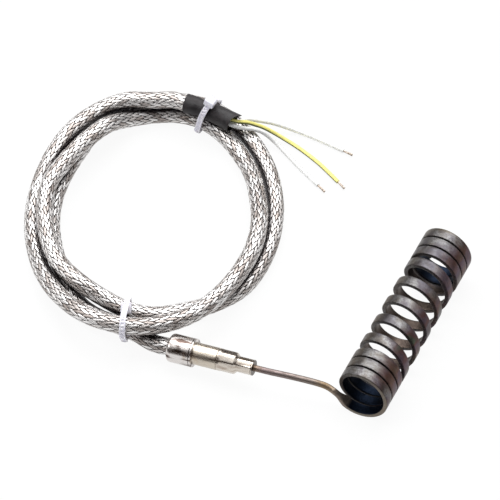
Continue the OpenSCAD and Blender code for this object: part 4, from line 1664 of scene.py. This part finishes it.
    def loop_point(self, s: Array) -> Array:
        """The lead's centre after s turns: an oval, shifted and lifted by lie, that hops over the straps.

        Its solid has six sides and lies on one of them, which sets the height of its centre. At a strap it
        rises by a bell curve.

        Args:
            s: Turns from the loop's start.

        Returns:
            Points in the frame.
        """
        s = np.asarray(s, float)
        shift, rise = np.moveaxis(self.lie(s), -1, 0)
        low = self.cable_d / 2 * math.cos(math.pi / self.solid_sides)
        hop = CableTie.thick + CableTie.gap + CableTie.askew_room + self.cable_d / 2 - low
        lower, upper = self.lower_tie_at / self.loop_rings, self.upper_tie_at / self.loop_rings
        tied = (bump(s - np.floor(s + 0.5) - lower + 1, self.hop_reach)
                + bump(s - np.floor(s) - upper, self.hop_reach))
        a, tilt = np.radians(self.loop_start - self.loop_tilt - 360.0 * s), math.radians(self.loop_tilt)
        u, v = (self.loop_a + shift) * np.cos(a), (self.loop_b + shift) * np.sin(a)
        return np.stack([self.loop_x + math.cos(tilt) * u - math.sin(tilt) * v,
                         self.loop_y + math.sin(tilt) * u + math.cos(tilt) * v,
                         self.floor + low + rise + hop * tied], axis=-1)

    def route(self) -> Array:
        """The lead's own points, from inside the collar to inside the heat-shrink.

        Returns:
            The points, in the frame.
        """
        start = [self.plug.at(x) for x in (self.plug.cable_grip, 0.0, -self.cable_d)]
        loops = self.loop_point(np.arange(self.first_ring, self.last_ring + 1) / self.loop_rings)
        return np.concatenate([start, self.lift(self.lead_in), loops, self.lift(self.lead_out)])

    def build(self) -> None:
        on_lead = [self.shrink(), *self.ties()]
        self.braid(on_lead)
        self.wires()

    def braid(self, on_lead: list[Piece]) -> None:
        """The braid: bundles of two lays go over two and under two.

        At a place x across it a bundle's back is 1 - |2x - 1|^3. A cosine of four bundles' length lifts it
        where it is over and sinks it where it is under. The higher of the two lays shows.

        Args:
            on_lead: The pieces that lie on the lead. Not used.
        """
        path = evenly(through(self.route(), self.route_steps)[0], self.braid_step)
        arc = arc_of(path)
        u = np.arange(self.braid_sides) / self.braid_sides
        lay = arc * self.bundles / self.lay_length
        one, two = u[None] * self.bundles + lay[:, None], u[None] * self.bundles - lay[:, None]
        backs = [1 - np.abs(2 * (x - np.floor(x)) - 1) ** 3 for x in (one, two)]
        phases = (np.floor(one) + two - 1, one + np.floor(two) + 1)
        waves = [np.cos(np.pi / 2 * phase) for phase in phases]
        high = np.maximum(*(back + self.bundle_wave * wave for back, wave in zip(backs, waves)))
        radius = self.cable_d / 2 + self.braid_relief * (high - 1 - self.bundle_wave)
        seam_below = 2 * np.pi * (u - 0.25)
        rings = Spine.lying(path).sweep(radius[..., None] * heading(seam_below))
        rings[..., 2] = np.maximum(rings[..., 2], self.floor + self.braid_clear)
        # The point attribute masks the painted shade where strands touch.
        made = Surface("lead_braid").add(
            rings, (shares(self.braid_sides), lay), crevice=self.crevices(rings, path, arc))
        piece = made.put(Braid("bright_braid", 0.85, float(self.bundles)).material(), sharp=180.0)
        on_lead_end(piece, "braid", "braid_sleeve")
        (self.plug.at(0.0) * MM).tolist()

    def crevices(self, rings: Array, path: Array, arc: Array) -> Array:
        """How close another strand lies to each point of the braid, as the mask of the painted shade where
        strands touch.

        Args:
            rings: The braid's rings.
            path: Its middle.
            arc: Length along it.

        Returns:
            1 where another strand touches, 0 from crevice_reach on, with a smooth step between.
        """
        others = np.arange(0, len(path), self.crevice_stride)
        apart = np.linalg.norm(path[:, None] - path[None, others], axis=2)
        apart[np.abs(arc[:, None] - arc[None, others]) < self.crevice_apart * self.cable_d] = np.inf
        near = path[others[np.argsort(apart, axis=1)[:, :self.crevice_near]]]
        gap = np.linalg.norm(rings[:, :, None] - near[:, None], axis=3).min(axis=2) - self.cable_d / 2
        return smooth(1.0 - gap / self.crevice_reach)

    def wires(self) -> None:
        """Earth and power wires, each one tube from the barrel through the lead to its tip."""
        spine = Spine.lying(np.concatenate([self.route(), self.lift((self.shrink_mouth,))]))
        at, side = self.plug.at, self.splice_side
        places = self.wire_ring * heading(np.radians(self.wire_angles))
        joints = (self.splice_x - self.splice_gap, self.earth_x - self.earth_clear)
        splices = [[at(x, y, places[1, 1]) for x in joints] for y in (side, -side)]
        disc = [at(self.earth_x - self.earth_gap, 0.0, self.wire_ring)]
        disc_reach = self.earth_disc_t + self.earth_gap
        yellow, white, tinned = (finish.material() for finish in (self.yellow, self.white, self.tinned))
        for kind, tag, begin, place, free, skin, reach in (
                ("earth", "", disc, places[0], self.earth_free, yellow, disc_reach),
                ("power", "_1", splices[0], places[1], self.power_1_free, white, self.pin_reach),
                ("power", "_2", splices[1], places[2], self.power_2_free, white, self.pin_reach)):
            tip, _ = through(self.lift(free), self.free_steps)
            points = np.concatenate([begin, spine.beside(*place), tip])
            path = evenly(through(points, self.wire_steps)[0], self.wire_step)
            conductor = self.conductor(f"{kind}{tag}_strands", path, reach).put(tinned, sharp=60.0)
            on_lead_end(conductor, "conductor", f"{kind}_conductor{tag}")
            tube = self.insulation(f"{kind}{tag}_insulation", path).put(skin, sharp=60.0)
            on_lead_end(tube, f"{kind}_insulation", f"{kind}_wire{tag}")
            (at(0.0) * MM).tolist()

    def insulation(self, name: str, path: Array) -> Surface:
        """A round tube, slightly drawn in where it is cut, with the stripe's turns along it.

        Args:
            name: The piece's name.
            path: The wire's middle.

        Returns:
            The surface.
        """
        size = np.ones(len(path))
        size[-1] = self.cut_end
        section = size[:, None, None] * circle(self.wire_d / 2, self.wire_sides)
        lay = arc_of(path) / self.stripe_lay + self.stripe_start
        return Surface(name).add(Spine.lying(path).sweep(section), (shares(self.wire_sides), lay))

    def conductor(self, name: str, path: Array, reach: float) -> Surface:
        """A conductor: a plain core in the insulation, and twisted strands at the bare end.

        One strand is straight. The others wind round it as helices that splay by the cube of the length.

        Args:
            name: The piece's name.
            path: The wire's middle.
            reach: How far the core stands out of the wire's beginning.

        Returns:
            The surface.
        """
        head = path[0] + unit(path[0] - path[1]) * reach
        core = Spine.lying(np.concatenate([[head], path[:-1]]))
        made = Surface(name).add(core.sweep(circle(self.conductor_d / 2, self.core_sides)))
        last = path[-1] - path[-2]
        s = shares(self.strand_steps)[:, None]
        bare = Spine.lying(path[-2] + s * (self.bare_len + np.linalg.norm(last)) * unit(last))
        wound = self.conductor_d / 3 * (1 + self.strand_splay * s**3)
        for k in range(self.strands):
            r = wound if k else 0.0
            a = 2 * np.pi * (k / (self.strands - 1) + self.strand_twist * s)
            strand = Spine.lying(bare.beside(r * np.cos(a), r * np.sin(a)))
            made.add(strand.sweep(circle(self.conductor_d / 6, self.strand_sides)))
        return made

    def shrink(self) -> Piece:
        """Heat-shrink: a skin that hugs the braid, is drawn in under the tie and ends in a long lip.

        Pinch and rolled rear edge are bell curves of the length, the flare is a smooth step, and the ripples
        are sines of turn and length.

        Returns:
            The piece.
        """
        points = self.lift((*self.lead_out[1:], self.shrink_mouth))
        curve = evenly(through(points, self.shrink_steps)[0], self.shrink_step)
        spine, arc = Spine.lying(curve), arc_of(curve)
        a = round_turn(self.shrink_sides, 0.5)
        tie = arc[np.argmin(np.linalg.norm(curve - self.lift(self.lead_out)[2], axis=1))]
        to_mouth = arc - arc[-1]
        pinch = self.pinch[0] * bump(arc - tie, self.pinch[1])
        rolled = self.rolled[0] * bump(arc, self.rolled[1])
        flare = self.flare[0] * smooth(to_mouth / self.flare[1] + 1) + rolled
        ripple = self.ripple * sum(np.sin(k * a[None] + arc[:, None] / length) for k, length in self.ripples)
        inside = self.cable_d / 2 + self.shrink_gap
        inner = inside + (flare - self.pinch_inside * pinch)[:, None] + self.ripple_inside * ripple
        outer = inside + self.shrink_wall + (flare - pinch)[:, None] + ripple
        from_lip = (a - self.lip_angle + np.pi) % (2 * np.pi) - np.pi
        lip = self.lip[0] * bump(from_lip, self.lip_spread) * smooth(to_mouth / self.lip[1] + 1)[:, None]
        skins = [spine.sweep(r[..., None] * heading(a)) + lip[..., None] * spine.along[:, None]
                 for r in (outer, inner)]
        edge = (skins[0][-1] + skins[1][-1]) / 2 + self.lip_round * spine.along[-1]
        rings = np.concatenate([skins[0], edge[None], skins[1][::-1]])
        along = np.concatenate([arc, [arc[-1]], arc[::-1], [0.0]])
        made = Surface("shrink_sleeve").add(rings, (shares(self.shrink_sides), along), loop=True)
        piece = made.put(Shrunk("heat_shrink", 0.0).material(), sharp=60.0)
        return on_lead_end(piece, "shrink", "heat_shrink")

    def ties(self) -> list[Piece]:
        """Both cable ties, each round three strands.

        Returns:
            The pieces.
        """
        nylon = Nylon("natural_nylon", 0.0).material()
        bare = self.cable_d / 2
        sleeved = bare + self.shrink_gap + self.shrink_wall
        step = 1.0 / self.loop_rings
        made = []
        begin, end = self.lift(self.lead_in)[:2].mean(axis=0), self.lift(self.lead_out)[2]
        for name, at, third, radius, lean, head in (
                ("lower", self.lower_tie_at, begin, bare, self.lower_lean, self.lower_head),
                ("upper", self.upper_tie_at, end, sleeved, self.upper_lean, self.upper_head)):
            s = at * step
            centres = np.concatenate([self.loop_point([s, s + 1]), third[None]])
            ahead = unit(np.diff(self.loop_point([s - step, s + step])[:, :2], axis=0))[0]
            tie = CableTie(f"tie_{name}", f"cable_tie_{name}", centres, (bare, bare, radius),
                           np.append(ahead, 0.0), *lean, *head)
            made.append(tie.build(nylon))
        return made


@dataclass
class HiddenParts:
    """Parts that no view shows, kept as packed: each gets the finish of its stuff."""

    nickel: Plain = Plain("plain_nickel", 0.95, srgb(196, 192, 184), srgb(166, 160, 150), 0.3, 1200.0)
    tinned: Plain = Plain("tinned_splice", 0.95, srgb(190, 186, 182), srgb(150, 146, 142), 0.35, 1200.0)
    sleeving: Plain = Plain("glass_sleeving", 0.0, srgb(236, 230, 214), srgb(214, 206, 186), 0.7, 1500.0)
    weld: Plain = Plain("weld_plug", 0.9, srgb(150, 140, 128), srgb(110, 98, 88), 0.45, 900.0)
    glass: Plain = Plain("seal_glass", 0.0, srgb(120, 158, 148), srgb(96, 136, 128), 0.15, 600.0)
    cement: Plain = Plain("cast_cement", 0.0, srgb(216, 206, 182), srgb(190, 180, 156), 0.9, 800.0)
    brass: Plain = Plain("plain_brass", 0.95, srgb(204, 166, 96), srgb(170, 132, 70), 0.32, 700.0)

    def dress(self, nodes: dict[str, Piece]) -> None:
        """Gives each part its material.

        Args:
            nodes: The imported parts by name.
        """
        for finish, names in (
                (self.nickel, ("cold_pin_1", "cold_pin_2")), (self.tinned, ("splice_1", "splice_2")),
                (self.sleeving, ("splice_sleeve_1", "splice_sleeve_2")), (self.weld, ("end_plug",)),
                (self.glass, ("glass_bead",)), (self.cement, ("potting",)), (self.brass, ("earth_disc",))):
            material = finish.material()
            for name in names:
                nodes[name].data.materials.clear()
                nodes[name].data.materials.append(material)
                LOG.info("%s: %s", name, finish.name)


@dataclass
class Studio:
    """Camera, lamps, table and dark cards for the metal to reflect.

    Reaches, clip and the table's gap are in metres. A card has its name, its spread to each side of the
    camera's azimuth, and its lowest and highest elevation.
    """

    floor: float
    azimuth: float = 26.0
    elevation: float = 51.0
    distance: float = 1270.0
    mm_per_pixel: float = 0.36
    picture: int = 500
    aim: tuple[float, float, float] = (0.0, 3.0, 0.0)
    aim_pixel: tuple[float, float] = (363.0, 394.0)
    sensor: float = 36.0
    clip: tuple[float, float] = (0.05, 20.0)
    middle: tuple[float, float] = (-75.0, 45.0)
    table_reach: float = 3.0
    table_gap: float = 0.0002
    table_colour: Colour = (0.9, 0.9, 0.9, 1.0)
    table_glow: float = 0.93
    table_rough: float = 0.9
    card_reach: float = 2.2
    card_steps: int = 48
    cards: tuple[tuple[str, float, float, float], ...] = (
        ("card_round", 180.0, 2.0, 26.0), ("card_front", 62.0, 26.0, 68.0))
    sky: Colour = (0.95, 0.97, 1.0, 1.0)
    sky_strength: float = 0.32
    white: Colour = (1.0, 1.0, 1.0, 1.0)

    @property
    def centre(self) -> Array:
        """The middle of the object on the level of the bore's axis, in metres."""
        return np.array([*self.middle, 0.0]) * MM

    def camera(self) -> None:
        """A long lens at the photograph's angle, placed so that the aim point lands on its pixel."""
        back = facing(self.azimuth, self.elevation)
        right = np.append(heading(math.radians(self.azimuth)), 0.0)
        shift = (np.array(self.aim_pixel) - self.picture / 2) * self.mm_per_pixel
        target = np.array(self.aim) - shift[0] * right + shift[1] * np.cross(back, right)
        data = bpy.data.cameras.new("camera")
        data.sensor_width = self.sensor
        data.lens = self.sensor * self.distance / (self.picture * self.mm_per_pixel)
        data.clip_start, data.clip_end = self.clip
        camera = self.aimed("camera", data, (target + back * self.distance) * MM, back)
        bpy.context.scene.camera = camera

    @staticmethod
    def aimed(name: str, data: bpy.types.ID, place: Array, back: Array) -> bpy.types.Object:
        """Sets up a camera or a lamp.

        Args:
            name: Its name.
            data: The camera or the lamp.
            place: Where it stands, in metres.
            back: Direction that it faces away from.

        Returns:
            Its object.
        """
        made = bpy.data.objects.new(name, data)
        made.location = place.tolist()
        made.rotation_euler = (-Vector(back.tolist())).to_track_quat("-Z", "Y").to_euler()
        bpy.context.scene.collection.objects.link(made)
        return made

    def lamp(self, name: str, azimuth: float, elevation: float, away: float, size: tuple[float, float],
             watts: float) -> None:
        """An area lamp that faces the heater.

        Args:
            name: The lamp's name.
            azimuth: Side that it stands on, counted from the camera's.
            elevation: Angle above the table.
            away: Distance in metres.
            size: Width and height in metres.
            watts: Power.
        """
        back = facing(self.azimuth + azimuth, elevation)
        data = bpy.data.lights.new(name, "AREA")
        data.shape, data.size, data.size_y, data.energy = "RECTANGLE", size[0], size[1], watts
        self.aimed(name, data, self.centre + back * away, back)

    @staticmethod
    def sheet(name: str, grid: Array, material: Material) -> Piece:
        """An open grid of points (m, n, 3) in metres, as part of the stage.

        Args:
            name: Its name.
            grid: Its points.
            material: What it is made of.

        Returns:
            The object.
        """
        m, n, _ = grid.shape
        at = np.arange(m * n).reshape(m, n)
        quads = np.stack([at[:-1, :-1], at[:-1, 1:], at[1:, 1:], at[1:, :-1]], axis=2).reshape(-1, 4)
        mesh = bpy.data.meshes.new(name)
        mesh.from_pydata(grid.reshape(-1, 3).tolist(), [], quads.tolist())
        mesh.materials.append(material)
        piece = bpy.data.objects.new(name, mesh)
        bpy.context.scene.collection.objects.link(piece)
        piece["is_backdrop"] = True
        return piece

    @staticmethod
    def seen(n: Nodes) -> Socket:
        """1 for rays from the camera, from glossy surfaces and through clear ones, otherwise 0.

        Args:
            n: Nodes of a material or a world.

        Returns:
            The value.
        """
        rays = n.add("ShaderNodeLightPath").outputs
        mirrored = n.math("MAXIMUM", rays["Is Glossy Ray"], rays["Is Transmission Ray"])
        return n.math("MAXIMUM", rays["Is Camera Ray"], mirrored)

    def pale(self) -> Material:
        """A pale surface that reads as white to the eye and in reflections, and still takes some shadow.

        Returns:
            The material.
        """
        made = bpy.data.materials.new("table_white")
        made.use_nodes = True
        n, nodes = Nodes(made.node_tree), made.node_tree.nodes
        look = {"Base Color": self.table_colour, "Roughness": self.table_rough, "Specular IOR Level": 0.0}
        shader = n.feed(nodes["Principled BSDF"], look)
        glow = n.add("ShaderNodeEmission", {"Color": self.white, "Strength": 1.0})
        share = n.times(self.seen(n), self.table_glow)
        both = n.add("ShaderNodeMixShader", {0: share, 1: shader.outputs[0], 2: glow.outputs[0]})
        n.feed(nodes["Material Output"], {"Surface": both.outputs[0]})
        return made

    def world(self) -> None:
        """Soft even light from a world that reads as white to the eye and in reflections."""
        made = bpy.data.worlds.new("studio")
        made.use_nodes = True
        n, nodes = Nodes(made.node_tree), made.node_tree.nodes
        plain = n.feed(nodes["Background"], {"Color": self.sky, "Strength": self.sky_strength})
        bright = n.add("ShaderNodeBackground", {"Color": self.white, "Strength": 1.0})
        both = n.add("ShaderNodeMixShader", {0: self.seen(n), 1: plain.outputs[0], 2: bright.outputs[0]})
        n.feed(nodes["World Output"], {"Surface": both.outputs[0]})
        bpy.context.scene.world = made
        bpy.context.scene.view_settings.view_transform = "Standard"

    def build(self) -> None:
        """Makes table, cards, lamps and world."""
        ends = (-self.table_reach, self.table_reach)
        height = self.floor * MM - self.table_gap
        level = np.array([[(x, y, height) for y in ends] for x in ends])
        self.sheet("table", self.centre + level, self.pale())
        matte = Plain("dark_card", 0.0, srgb(74, 60, 54), srgb(66, 55, 50), rough=0.9, scale=2.0)
        dark = matte.material()
        for name, spread, low, high in self.cards:
            azimuth = self.azimuth + np.linspace(-spread, spread, self.card_steps + 1)[:, None]
            bow = facing(azimuth, np.array([low, high]))
            card = self.sheet(name, self.centre + self.card_reach * bow, dark)
            card.visible_camera = card.visible_diffuse = False
            card.visible_shadow = card.visible_transmission = False
        self.lamp("top_lamp", azimuth=180.0, elevation=62.0, away=1.5, size=(1.7, 1.3), watts=32.0)
        self.lamp("side_lamp", azimuth=-95.0, elevation=40.0, away=1.6, size=(0.9, 0.9), watts=7.0)
        self.world()


def corners(box: tuple[Vector, Vector]) -> list[list[float]]:
    """A box's corners as plain lists."""
    return [list(corner) for corner in box]


def main() -> None:
    """Builds every sub-assembly in order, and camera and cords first."""
    logging.basicConfig(level=logging.INFO, format="%(name)s: %(message)s")
    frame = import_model()
    cad_box = corners(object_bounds())
    SharedEffects().build()
    heater = Heater()
    plug = Connector(heater.floor)
    studio = Studio(heater.floor)
    studio.camera()
    Lead(plug).build()
    heater.build(plug)
    plug.build()
    HiddenParts().dress(frame["nodes"])
    studio.build()
    {"cad": cad_box, "visual": corners(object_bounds())}


if __name__ == "__main__":
    main()
